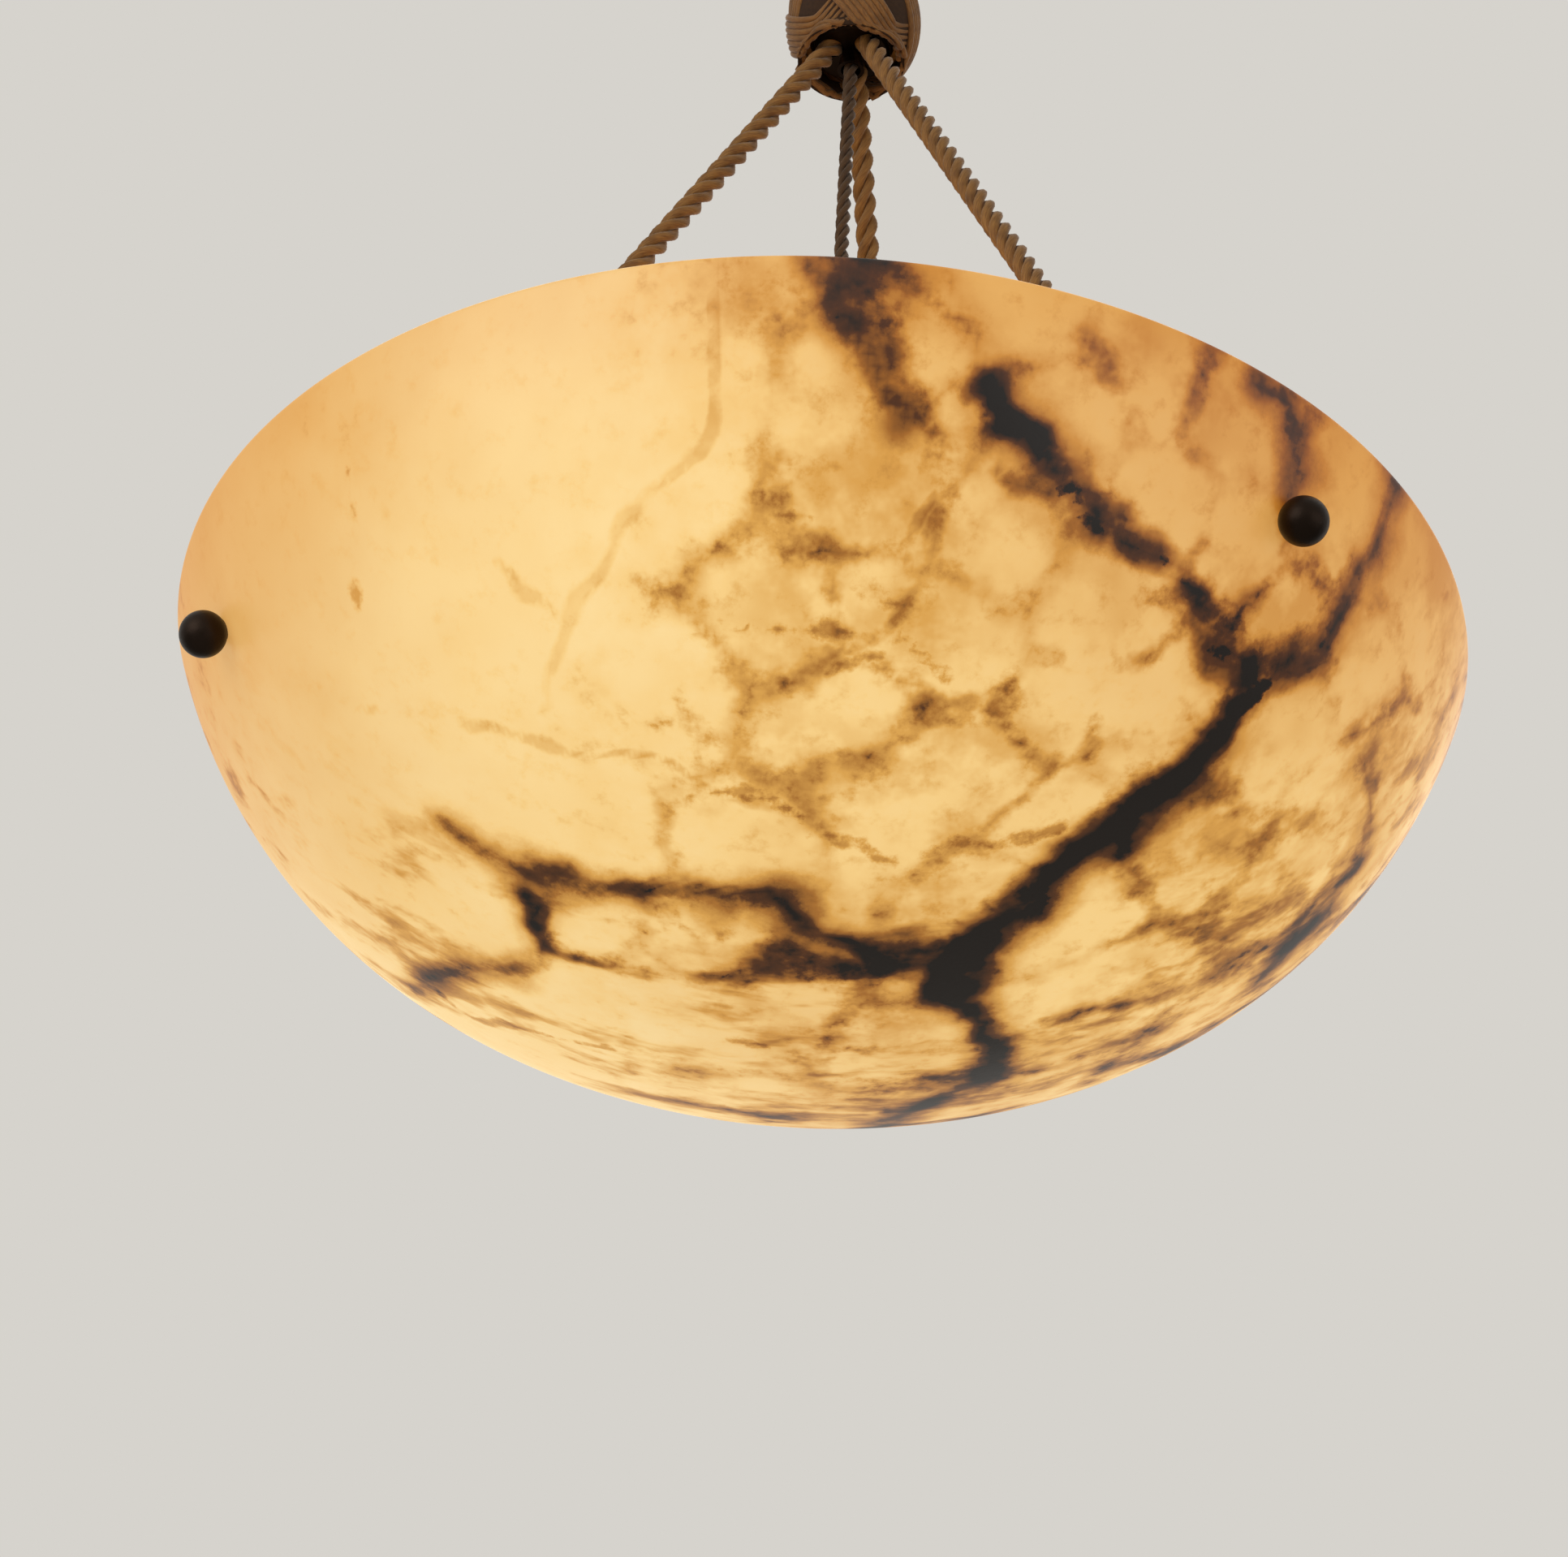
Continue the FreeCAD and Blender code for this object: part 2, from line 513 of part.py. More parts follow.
# A turned cap grips the rope's top; an eye on it hangs in the ring.
cap = raise_to(turned_body("cap_turning", [
    ("0", "0"),
    ("dims.cap_radius - dims.cap_round", "0"),
    ("dims.cap_radius", "-dims.cap_round", "-dims.cap_round"),
    ("dims.cap_radius", "-dims.cap_length + dims.edge_soft"),
    ("dims.cap_radius - dims.edge_soft", "-dims.cap_length"),
    ("dims.rope_radius + dims.seat_gap", "-dims.cap_length"),
    ("dims.rope_radius + dims.seat_gap", "-dims.cap_length + dims.cap_grip"),
    ("0", "-dims.cap_length + dims.cap_grip"),
]), "levels.cap_top")
cap_eye = ring("cap_eye_ring", "dims.eye_bend", "dims.eye_wire", "levels.cap_eye",
               Vector(0, 1, 0))
entry = rod("cap_entry", "dims.entry_radius", "dims.entry_cut")
entry.setExpression("Placement.Base.x", "dims.entry_aside")
entry.setExpression("Placement.Base.y", "dims.entry_aside")
entry.setExpression("Placement.Base.z", "levels.cap_top - dims.entry_depth")
keep("rope_cap", cut_from("cap_cut", joined("cap_with_eye", [cap, cap_eye]), [entry]))

# The main rope is laid round the flex, which is its core.
keep("main_rope", raise_to(turned_body("rope_turning", [
    ("dims.flex_radius + dims.core_gap", "levels.rope_foot - levels.rope_top"),
    ("dims.rope_radius", "levels.rope_foot - levels.rope_top"),
    ("dims.rope_radius", "0"),
    ("dims.flex_radius + dims.core_gap", "0"),
]), "levels.rope_top"))
core = rod("flex_rod", "dims.flex_radius", "levels.rope_top - levels.rope_foot")
keep("flex_core", raise_to(core, "levels.rope_foot"))

# Three insulated wires go slack from the cap, up beside the hook, to the block's ways.
block_far = block_near + size("block_width")
wires = []
for way in (-1, 0, 1):
    turn = math.radians(90 - 120 * way)
    across = way * size("way_spacing")
    start = Vector(size("entry_aside") + size("core_spread") * math.cos(turn),
                   size("entry_aside") + size("core_spread") * math.sin(turn),
                   level("cap_top") - size("entry_depth") + size("core_lift"))
    points = [start, start + Vector(0, 0, size("core_rise")),
              Vector(across * size("core_fan") + size("wire_aside"), size("wire_out"),
                     -size("wire_low")),
              Vector(across, block_far + size("wire_loop"), -size("wire_high")),
              Vector(across, block_far + size("wire_loop"), way_level),
              Vector(across, block_far - size("core_entry"), way_level)]
    wires.append(bent_wire(rounded_route(points, size("core_bend")), size("core_radius")))
keep("canopy_wires", solid_feature("wire_set", Part.Compound(wires)))

# ================================================================================ knob
# A turned wooden mould, hollow below, under a padded cover of wound cord that turns under
# it to the hollow's edge. Its side is two arcs that meet upright at the widest level.
def swell_radius(swell, depth, height):
    """Radius of the knob's side at a height above the widest level, a depth inside."""
    return (f"dims.knob_radius - {swell}"
            f" + sqrt(({swell} - {depth})^2 - ({height})^2)")


keep("knob_core", raise_to(turned_body("mould_turning", [
    ("dims.cavity_radius", "dims.cover_depth + dims.seat_gap"),
    (swell_radius("dims.lower_swell", "dims.cover_depth + dims.seat_gap",
                  "dims.knob_equator - dims.cover_depth - dims.seat_gap"),
     "dims.cover_depth + dims.seat_gap"),
    ("dims.knob_radius - dims.cover_depth - dims.seat_gap", "dims.knob_equator",
     "levels.core_lower"),
    (swell_radius("dims.upper_swell", "dims.cover_depth + dims.seat_gap",
                  "levels.knob_crown - dims.cover_depth"),
     "dims.knob_height - dims.cover_depth", "levels.core_upper"),
    ("dims.socket_radius + dims.seat_gap", "dims.knob_height - dims.cover_depth"),
    ("dims.socket_radius + dims.seat_gap", "dims.cavity_depth"),
    ("dims.cavity_radius - dims.cap_round", "dims.cavity_depth"),
    ("dims.cavity_radius", "dims.cavity_depth - dims.cap_round", "-dims.cap_round"),
]), "levels.knob_bottom"))
keep("knob_cover", raise_to(turned_body("cover_turning", [
    ("dims.cavity_radius", "0"),
    (swell_radius("dims.lower_swell", "0", "dims.knob_equator"), "0"),
    ("dims.knob_radius", "dims.knob_equator", "dims.lower_swell"),
    (swell_radius("dims.upper_swell", "0", "levels.knob_crown"), "dims.knob_height",
     "dims.upper_swell"),
    ("dims.socket_radius + dims.seat_gap", "dims.knob_height"),
    ("dims.socket_radius + dims.seat_gap", "dims.knob_height - dims.cover_depth"),
    (swell_radius("dims.upper_swell", "dims.cover_depth",
                  "levels.knob_crown - dims.cover_depth"),
     "dims.knob_height - dims.cover_depth"),
    ("dims.knob_radius - dims.cover_depth", "dims.knob_equator", "-levels.cover_upper"),
    (swell_radius("dims.lower_swell", "dims.cover_depth",
                  "dims.knob_equator - dims.cover_depth"), "dims.cover_depth",
     "-levels.cover_lower"),
    ("dims.cavity_radius", "dims.cover_depth"),
]), "levels.knob_bottom"))

# The socket in the knob's top grips the main rope; a small eye under it holds a ring.
socket = raise_to(turned_body("socket_turning", [
    ("0", "0"),
    ("dims.socket_radius - dims.edge_soft", "0"),
    ("dims.socket_radius", "dims.edge_soft"),
    ("dims.socket_radius", "dims.socket_length - 2 * dims.edge_soft"),
    ("dims.socket_radius - 2 * dims.edge_soft", "dims.socket_length"),
    ("dims.rope_radius + dims.seat_gap", "dims.socket_length"),
    ("dims.rope_radius + dims.seat_gap", "dims.socket_floor"),
    ("0", "dims.socket_floor"),
]), "levels.socket_bottom")
socket_eye = ring("socket_eye_ring", "dims.small_eye", "dims.small_wire",
                  "levels.socket_eye", Vector(0, 1, 0))
outlet = rod("socket_outlet", "dims.bight_radius + dims.seat_gap", "dims.bight_depth * 2")
outlet.setExpression("Placement.Base.x", "dims.bight_aside")
outlet.setExpression("Placement.Base.y", "dims.bight_aside")
outlet.setExpression("Placement.Base.z", "levels.socket_bottom - dims.bight_depth")
keep("rope_socket", cut_from("socket_cut", joined("socket_with_eye", [socket, socket_eye]),
                             [outlet]))
keep("gather_ring", ring("gather_link", "dims.small_ring", "dims.small_wire",
                         "levels.gather_ring", Vector(1, 0, 0)))
bight = rod("bight_rod", "dims.bight_radius",
            "levels.socket_bottom - levels.gather_top + dims.bight_depth"
            " + dims.inlet_depth - 2 * dims.bight_gap")
bight.setExpression("Placement.Base.x", "dims.bight_aside")
bight.setExpression("Placement.Base.y", "dims.bight_aside")
bight.setExpression("Placement.Base.z",
                    "levels.gather_top - dims.inlet_depth + dims.bight_gap")
keep("knob_flex", bight)


# =============================================================== slings and gather cap
def sling_frame(turn):
    """Placement with its origin at the apex, its Z up along one sling and its Y level."""
    lean = math.asin(level("sling_lean"))
    up = Vector(-math.sin(lean) * math.cos(turn), -math.sin(lean) * math.sin(turn),
                math.cos(lean))
    level_way = Vector(-math.sin(turn), math.cos(turn), 0)
    return Placement(Vector(0, 0, level("apex")),
                     Rotation(level_way.cross(up), level_way, up, "ZYX"))


def wall_frame(turn):
    """Placement on the outside of the bowl at one hole, its Z straight out of the wall."""
    out = Vector(level("hole_out") * math.cos(turn), level("hole_out") * math.sin(turn),
                 -level("hole_down"))
    level_way = Vector(-math.sin(turn), math.cos(turn), 0)
    place = Vector(level("hole_r") * math.cos(turn), level("hole_r") * math.sin(turn),
                   level("rim") - size("hole_drop"))
    return Placement(place, Rotation(level_way.cross(out), level_way, out, "ZYX"))


turns = [math.radians(size(f"hole_turn_{number}")) for number in (1, 2, 3)]

# The gather cap is a turned dome with three slanting sockets, an eye on top and a flared
# nozzle underneath for the lamp lead.
gather = raise_to(turned_body("gather_turning", [
    ("dims.lead_radius + dims.bell_gap", "-dims.lead_in"),
    ("dims.nozzle_mouth", "-dims.lead_in"),
    ("dims.nozzle_top", "0"),
    ("dims.gather_radius - dims.edge_soft", "0"),
    ("dims.gather_radius", "dims.edge_soft"),
    ("dims.gather_radius", "dims.gather_skirt"),
    ("dims.socket_radius", "dims.gather_height", "dims.gather_dome"),
    ("0", "dims.gather_height"),
    ("0", "0"),
    ("dims.lead_radius + dims.seat_gap", "0"),
]), "levels.gather_bottom")
gather_eye = ring("gather_eye_ring", "dims.small_eye", "dims.small_wire",
                  "levels.gather_eye", Vector(0, 1, 0))
inlet = rod("gather_inlet", "dims.bight_radius + dims.seat_gap", "dims.inlet_depth * 2")
inlet.setExpression("Placement.Base.x", "dims.bight_aside")
inlet.setExpression("Placement.Base.y", "dims.bight_aside")
inlet.setExpression("Placement.Base.z", "levels.gather_top - dims.inlet_depth")
sockets = []
for turn in turns:
    frame = sling_frame(turn)
    drill = rod("sling_socket", "dims.sling_radius + dims.seat_gap", "dims.gather_height * 3")
    drill.Placement = frame.multiply(Placement(
        Vector(0, 0, -size("sling_start") - size("gather_height") * 3), Rotation()))
    sockets.append(drill)
keep("gather_cap", cut_from("gather_cut", joined("gather_with_eye", [gather, gather_eye]),
                            sockets + [inlet]))

for number, turn in enumerate(turns, start=1):
    frame = sling_frame(turn)
    keep(f"sling_rope_{number}", rod(
        f"sling_rod_{number}", "dims.sling_radius", "levels.sling_end - dims.sling_start",
        frame.multiply(Placement(Vector(0, 0, -level("sling_end")), Rotation()))))
    # the rope's foot sits in a turned cap whose hook hangs in the bowl's anchor
    tip = turned_body(f"tip_turning_{number}", [
        ("0", "0"),
        ("dims.tip_nose", "0"),
        ("dims.tip_radius", "dims.tip_length - dims.tip_grip"),
        ("dims.tip_radius", "dims.tip_length - dims.edge_soft"),
        ("dims.tip_radius - dims.edge_soft", "dims.tip_length"),
        ("dims.sling_radius + dims.seat_gap", "dims.tip_length"),
        ("dims.sling_radius + dims.seat_gap", "dims.tip_length - dims.tip_grip"),
        ("0", "dims.tip_length - dims.tip_grip"),
    ])
    catch = solid_feature(f"catch_{number}", bent_wire(
        hook_edges(size("catch_shank") + size("catch_sunk"), size("catch_neck"),
                   size("catch_bend"), math.radians(size("catch_tip"))),
        size("catch_wire")))
    foot = Vector(0, 0, -level("catch_top"))
    tip.Placement = frame.multiply(Placement(foot, Rotation()))
    sunk = Vector(0, 0, size("catch_sunk"))
    catch.Placement = frame.multiply(Placement(foot + sunk, Rotation()))
    keep(f"sling_hook_{number}", joined(f"sling_hook_form_{number}", [tip, catch]))

# ================================================================================ bowl
# The carved bowl: an even wall between two pairs of arcs, a flat rim with soft edges, and
# three holes square to the wall for the anchors.
shell = raise_to(turned_body("bowl_turning", [
    ("0", "-dims.bowl_height"),
    ("dims.crown_radius * levels.crown_sin",
     "levels.crown_z - dims.crown_radius * levels.crown_cos", "dims.crown_radius"),
    ("dims.bowl_radius", "0", "levels.shoulder"),
    ("levels.rim_inner", "0"),
    ("levels.crown_inner * levels.crown_sin",
     "levels.crown_z - levels.crown_inner * levels.crown_cos", "-levels.shoulder_inner"),
    ("0", "-dims.bowl_height + dims.bowl_wall", "-levels.crown_inner"),
]), "levels.rim")
doc.recompute()
rim_round = size("rim_round")
rounded = doc.addObject("Part::Fillet", "rim_softening")
rounded.Base = shell
rounded.Edges = [(index, rim_round, rim_round)
                 for index, edge in enumerate(shell.Shape.Edges, start=1)
                 if edge.BoundBox.ZLength < 0.01
                 and abs(edge.BoundBox.ZMax - level("rim")) < 0.01]

drills = []
for turn in turns:
    frame = wall_frame(turn)
    through = rod("anchor_hole", "dims.bolt_hole", "dims.bowl_wall * 3")
    through.Placement = frame.multiply(Placement(Vector(0, 0, -size("bowl_wall") * 2),
                                                 Rotation()))
    drills.append(through)
keep("bowl", cut_from("bowl_cut", rounded, drills))

# ============================================================================= anchors
# Each anchor is a bolt with a ball head that stands on the hole outside and a ring inside,
# drawn tight by a nut on a soft washer.
lock_blank = hex_nut(size("lock_flat"), size("lock_height"),
                     size("bolt_radius") + size("seat_gap") / 2)
washer_blank = Part.makeCylinder(size("washer_radius"), size("washer_height")).cut(
    Part.makeCylinder(size("bolt_radius") + size("seat_gap"), size("washer_height")))
washers = []
locks = []
for number, turn in enumerate(turns, start=1):
    frame = wall_frame(turn)
    stud = turned_body(f"stud_turning_{number}", [
        ("0", "-levels.anchor_ring + dims.anchor_bend"),
        ("dims.bolt_radius", "-levels.anchor_ring + dims.anchor_bend"),
        ("dims.bolt_radius", "levels.ball_foot"),
        ("0", "levels.ball_stand + dims.ball_radius", "dims.ball_radius"),
    ])
    loop = doc.addObject("Part::Torus", f"anchor_loop_{number}")
    loop.setExpression("Radius1", "dims.anchor_bend")
    loop.setExpression("Radius2", "dims.anchor_wire")
    stud.Placement = frame
    loop.Placement = frame.multiply(Placement(Vector(0, 0, -level("anchor_ring")),
                                              Rotation(Vector(0, 1, 0), 90)))
    keep(f"anchor_{number}", joined(f"anchor_form_{number}", [stud, loop]))
    depth = size("bowl_wall") + size("washer_height") + size("washer_lift")
    inside = frame.multiply(Placement(Vector(0, 0, -depth), Rotation()))
    washers.append(washer_blank.transformed(inside.Matrix))
    nut_place = inside.multiply(Placement(Vector(0, 0, -size("lock_height")), Rotation()))
    locks.append(lock_blank.transformed(nut_place.Matrix))
keep("anchor_washers", solid_feature("washer_set", Part.Compound(washers)))
keep("anchor_nuts", solid_feature("lock_set", Part.Compound(locks)))

# ======================================================================= lamp cluster
lead = rod("lead_rod", "dims.lead_radius", "levels.lead_top - levels.lead_foot")
keep("lamp_lead", raise_to(lead, "levels.lead_foot"))

keep("cord_grip", raise_to(turned_body("grip_turning", [
    ("dims.lead_bore", "0"),
    ("dims.grip_flange", "0"),
    ("dims.grip_flange", "dims.flange_height"),
    ("dims.grip_radius", "dims.flange_height + dims.edge_soft"),
    ("dims.grip_radius", "dims.grip_length - dims.grip_taper"),
    ("dims.grip_radius - dims.edge_soft", "dims.grip_length"),
    ("dims.lead_radius + dims.bell_gap", "dims.grip_length"),
    ("dims.lead_radius + dims.seat_gap", "dims.grip_length - dims.lead_in"),
    ("dims.lead_bore", "dims.grip_length - dims.lead_in"),
]), "levels.hub_top"))

keep("lamp_hub", raise_to(turned_body("hub_turning", [
    ("0", "-dims.hub_height / 2"),
    ("dims.finial_radius", "-dims.hub_height / 2"),
    ("dims.hub_radius", "-dims.hub_side", "dims.hub_radius"),
    ("dims.hub_radius", "dims.hub_side"),
    ("dims.grip_flange", "dims.hub_height / 2", "dims.hub_radius"),
    ("0", "dims.hub_height / 2"),
]), "levels.lamp"))

keep("hub_finial", raise_to(turned_body("finial_turning", [
    ("0", "0"),
    ("0", "-dims.finial_length"),
    ("dims.finial_bulb", "-dims.finial_drop", "dims.finial_radius"),
    ("dims.finial_waist", "-dims.finial_cove"),
    ("dims.finial_radius", "-dims.finial_collar"),
    ("dims.finial_radius", "0"),
]), "levels.lamp - dims.hub_height / 2"))

for number in range(1, round(size("lamp_count")) + 1):
    turn = math.radians(size("lamp_turn")) + math.tau * (number - 1) / size("lamp_count")
    away = Vector(math.cos(turn), math.sin(turn), 0)
    arm_frame = Placement(Vector(0, 0, level("lamp")), Rotation(Vector(0, 0, 1), away))
    pieces = {
        "lamp_arm": [
            ("dims.arm_bore", "dims.hub_radius"), ("dims.arm_radius", "dims.hub_radius"),
            ("dims.arm_radius", "levels.cap_start"), ("dims.arm_bore", "levels.cap_start")],
        "holder_cap": [
            ("dims.arm_bore", "levels.cap_start"),
            ("dims.holder_neck", "levels.cap_start"),
            ("dims.holder_radius", "levels.holder_start", "dims.cap_swell"),
            ("dims.arm_bore", "levels.holder_start")],
        "lamp_holder": [
            ("0", "levels.holder_start"),
            ("dims.holder_radius", "levels.holder_start"),
            ("dims.holder_radius", "levels.holder_start + dims.holder_length"),
            ("dims.holder_radius - dims.holder_wall",
             "levels.holder_start + dims.holder_length"),
            ("dims.holder_radius - dims.holder_wall", "levels.base_start"),
            ("dims.base_radius + dims.holder_wall + dims.seat_gap", "levels.base_start"),
            ("dims.base_radius + dims.holder_wall + dims.seat_gap",
             "levels.glass_start - dims.base_lip"),
            ("dims.base_radius + dims.seat_gap", "levels.glass_start - dims.base_lip"),
            ("dims.base_radius + dims.seat_gap", "levels.base_start - dims.base_seat"),
            ("0", "levels.base_start - dims.base_seat")],
        "holder_ring": [
            ("dims.holder_radius + dims.seat_gap", "levels.collar_foot"),
            ("dims.collar_radius", "levels.collar_foot"),
            ("dims.collar_radius", "levels.collar_foot + dims.collar_length / 2"),
            ("dims.collar_rim", "levels.collar_foot + dims.collar_length"),
            ("dims.holder_radius + dims.seat_gap",
             "levels.collar_foot + dims.collar_length")],
        "bulb_base": [
            ("0", "levels.base_start - dims.base_seat"),
            ("dims.contact_radius", "levels.base_start - dims.base_seat"),
            ("dims.base_radius", "levels.base_start + dims.base_taper"),
            ("dims.base_radius", "levels.glass_start"), ("0", "levels.glass_start")],
        "bulb": [
            ("0", "levels.glass_start"), ("dims.base_radius", "levels.glass_start"),
            ("dims.neck_radius", "levels.glass_tip - dims.bulb_radius"
             " - sqrt(dims.bulb_radius^2 - dims.neck_radius^2)"),
            ("0", "levels.glass_tip", "dims.bulb_radius")],
    }
    for piece, profile in pieces.items():
        turned = turned_body(f"{piece}_turning_{number}", profile)
        turned.Placement = arm_frame
        keep(f"{piece}_{number}", turned)

# ============================================================================== output
doc.recompute()
faults = [thing.Name for thing in doc.Objects
          if "Invalid" in thing.State or "Error" in thing.State]
assert not faults, f"failed objects: {faults}"
os.makedirs("parts", exist_ok=True)
for node, thing in parts.items():
    shape = thing.Shape
    assert not shape.isNull() and shape.isValid(), f"bad shape: {node}"
for node, thing in parts.items():
    thing.Shape.exportStep(f"parts/{node}.step")
    print(f"{node}: {len(thing.Shape.Solids)} solid(s), {thing.Shape.Volume:.0f} mm3")
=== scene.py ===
import math

import bpy
import numpy as np
from mathutils import Matrix, Vector, noise


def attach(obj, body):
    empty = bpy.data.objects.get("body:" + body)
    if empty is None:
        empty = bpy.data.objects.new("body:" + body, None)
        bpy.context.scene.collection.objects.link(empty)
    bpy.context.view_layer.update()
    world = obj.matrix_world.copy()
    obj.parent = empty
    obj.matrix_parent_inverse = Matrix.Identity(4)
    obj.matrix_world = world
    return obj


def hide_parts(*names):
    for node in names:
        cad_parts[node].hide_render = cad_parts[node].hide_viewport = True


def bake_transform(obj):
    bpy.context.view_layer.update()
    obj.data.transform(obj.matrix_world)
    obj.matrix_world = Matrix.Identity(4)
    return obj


# %% [markdown]
# An alabaster bowl pendant: a carved bowl, lit from inside, on three rope slings under a
# cord-covered knob. The solid model comes in as a fixed frame, in metres, with the origin
# on the ceiling and Z up. Hard pieces keep that shape and get a finish here. Ropes, the
# plaited knob cover and the slack wires are modelled again with their real texture.
# %% Load the frame
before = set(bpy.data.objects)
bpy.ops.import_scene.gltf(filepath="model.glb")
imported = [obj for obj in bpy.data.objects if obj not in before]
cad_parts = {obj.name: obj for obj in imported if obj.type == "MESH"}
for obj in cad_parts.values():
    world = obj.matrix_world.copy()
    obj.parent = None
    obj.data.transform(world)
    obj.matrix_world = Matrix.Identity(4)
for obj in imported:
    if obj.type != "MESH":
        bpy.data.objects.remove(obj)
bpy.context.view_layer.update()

# %% [markdown]
# Six small helpers serve the whole file. The first clears the selection, because operators
# act on whatever is selected. The second turns a written sRGB colour into the linear
# values a shader wants. The third adds a shader node, sets it up and links it, so that a
# pattern reads as a list of nodes. The others start a material, join two sockets and give
# a solid from the frame its finish.
# %% Shared helpers
MM = 0.001


def deselect():
    """Leave edit mode and select nothing."""
    if bpy.context.object and bpy.context.object.mode != "OBJECT":
        bpy.ops.object.mode_set(mode="OBJECT")
    bpy.ops.object.select_all(action="DESELECT")


def linear(colour):
    """A hex colour such as "#C8963C" as linear red, green, blue and alpha."""
    parts = [int(colour[i:i + 2], 16) / 255 for i in (1, 3, 5)]
    return tuple(c / 12.92 if c <= 0.04045 else ((c + 0.055) / 1.055) ** 2.4
                 for c in parts) + (1.0,)


def add_node(owner, kind, settings=None, **inputs):
    """Add a node to a material or a world. Settings are its own options. An input is a
    value or a link, under the socket's name or, as i0, under its number."""
    node = owner.node_tree.nodes.new(kind)
    for name, value in (settings or {}).items():
        setattr(node, name, value)
    for name, value in inputs.items():
        key = int(name[1:]) if name[0] == "i" and name[1:].isdigit() else name.replace("_", " ")
        socket = node.inputs[key]
        if isinstance(value, bpy.types.NodeSocket):
            owner.node_tree.links.new(value, socket)
        else:
            socket.default_value = value
    return node


def new_material(name):
    """An empty material with its surface shader; returns both."""
    material = bpy.data.materials.new(name)
    material.use_nodes = True
    shader = material.node_tree.nodes["Principled BSDF"]
    return material, shader


def link(owner, output, socket):
    """Join an output to the socket of a node that is already there."""
    owner.node_tree.links.new(output, socket)


def dress(material, *node_names):
    """Give solids from the frame their finish."""
    for node_name in node_names:
        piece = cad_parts[node_name]
        piece.data.materials.clear()
        piece.data.materials.append(material)


print("helpers ready")

# %% [markdown]
# The photograph looks up at the bowl from below its rim. Its field of view and position
# were worked out from the rim's outline and the two anchor holes. The camera is placed by
# its right, up and forward directions, because these are what such a fit gives.
# %% Camera
RIM_Z = -477.0                                 # height of the bowl's rim, in millimetres
RIM = RIM_Z * MM
CAMERA_BACK, CAMERA_BELOW_RIM = 0.91236, 0.64408
camera_data = bpy.data.cameras.new("photo_camera")
camera_data.lens = 81.99
camera_data.sensor_width = 36.0
camera_data.clip_start = 0.05
camera = bpy.data.objects.new("photo_camera", camera_data)
bpy.context.scene.collection.objects.link(camera)
right = Vector((0.99866, -0.02121, 0.04715)).normalized()
forward = Vector((-0.00855, 0.83166, 0.55522)).normalized()
up = right.cross(forward)
camera.matrix_world = Matrix((
    (right.x, up.x, -forward.x, 0.0),
    (right.y, up.y, -forward.y, -CAMERA_BACK),
    (right.z, up.z, -forward.z, RIM - CAMERA_BELOW_RIM),
    (0.0, 0.0, 0.0, 1.0)))
bpy.context.scene.camera = camera
print("camera at", tuple(round(v, 3) for v in camera.matrix_world.translation))

# %% [markdown]
# A plain studio: a pale floor well below the bowl and a pale world. The background's
# paleness comes from the world's colour as the camera, a gloss or a glass sees it, never
# from more light on the object. So the world has two colours, and Light Path picks one.
# %% Floor and world
FLOOR = -1.75
WORLD_LIGHT = 0.35
deselect()
bpy.ops.mesh.primitive_plane_add(size=12.0, location=(0, 0, FLOOR))
floor = bpy.context.object
floor.name = "studio_floor"
floor_paint, floor_shader = new_material("matt_floor_paint")
floor_shader.inputs["Base Color"].default_value = linear("#D9D6D0")
floor_shader.inputs["Roughness"].default_value = 0.9
floor.data.materials.append(floor_paint)

world = bpy.data.worlds.new("studio_air")
bpy.context.scene.world = world
world.use_nodes = True
backdrop = world.node_tree.nodes["Background"]
backdrop.inputs["Color"].default_value = linear("#E4E1DB")
backdrop.inputs["Strength"].default_value = WORLD_LIGHT
seen = add_node(world, "ShaderNodeBackground", Color=linear("#D6D3CD"), Strength=1.0)
path = add_node(world, "ShaderNodeLightPath")
looks = 0.0
for ray in ("Is Camera Ray", "Is Glossy Ray", "Is Transmission Ray"):
    looks = add_node(world, "ShaderNodeMath", {"operation": "MAXIMUM"}, i0=looks,
                     i1=path.outputs[ray]).outputs[0]
mixed = add_node(world, "ShaderNodeMixShader", i0=looks, i1=backdrop.outputs[0],
                 i2=seen.outputs[0])
link(world, mixed.outputs[0], world.node_tree.nodes["World Output"].inputs["Surface"])
print("floor at", FLOOR, "m, world light", WORLD_LIGHT)

# %% [markdown]
# Three broad lamps light the pendant softly and at a plain level, so that a colour shows
# about as it is written. Each is turned to the middle of the bowl's rim.
# %% Lamps of the studio
for name, place, power, breadth in (
        ("key_lamp", (-1.5, -1.7, -0.2), 17.0, 1.8),
        ("fill_lamp", (1.8, -1.4, -1.1), 9.0, 2.0),
        ("top_lamp", (0.2, 0.9, 0.6), 10.0, 1.6)):
    data = bpy.data.lights.new(name, "AREA")
    data.energy = power
    data.size = breadth
    lamp = bpy.data.objects.new(name, data)
    bpy.context.scene.collection.objects.link(lamp)
    lamp.location = place
    aim = Vector((0, 0, RIM)) - Vector(place)
    lamp.rotation_euler = aim.to_track_quat("-Z", "Y").to_euler()
    print(name, power, "W,", breadth, "m")
bpy.context.scene.view_settings.view_transform = "Standard"

# %% [markdown]
# The slings and the main rope are laid ropes of golden brown silk and jute. Each rope's
# middle line is a smooth spline through the route of its solid. A curve with no bevel
# gives the points of that line. They are then spaced evenly, and each gets two cross
# directions that don't twist along the line, so that the twist is the rope's own.
# %% Line of a rope
CURVE_STEPS = 24


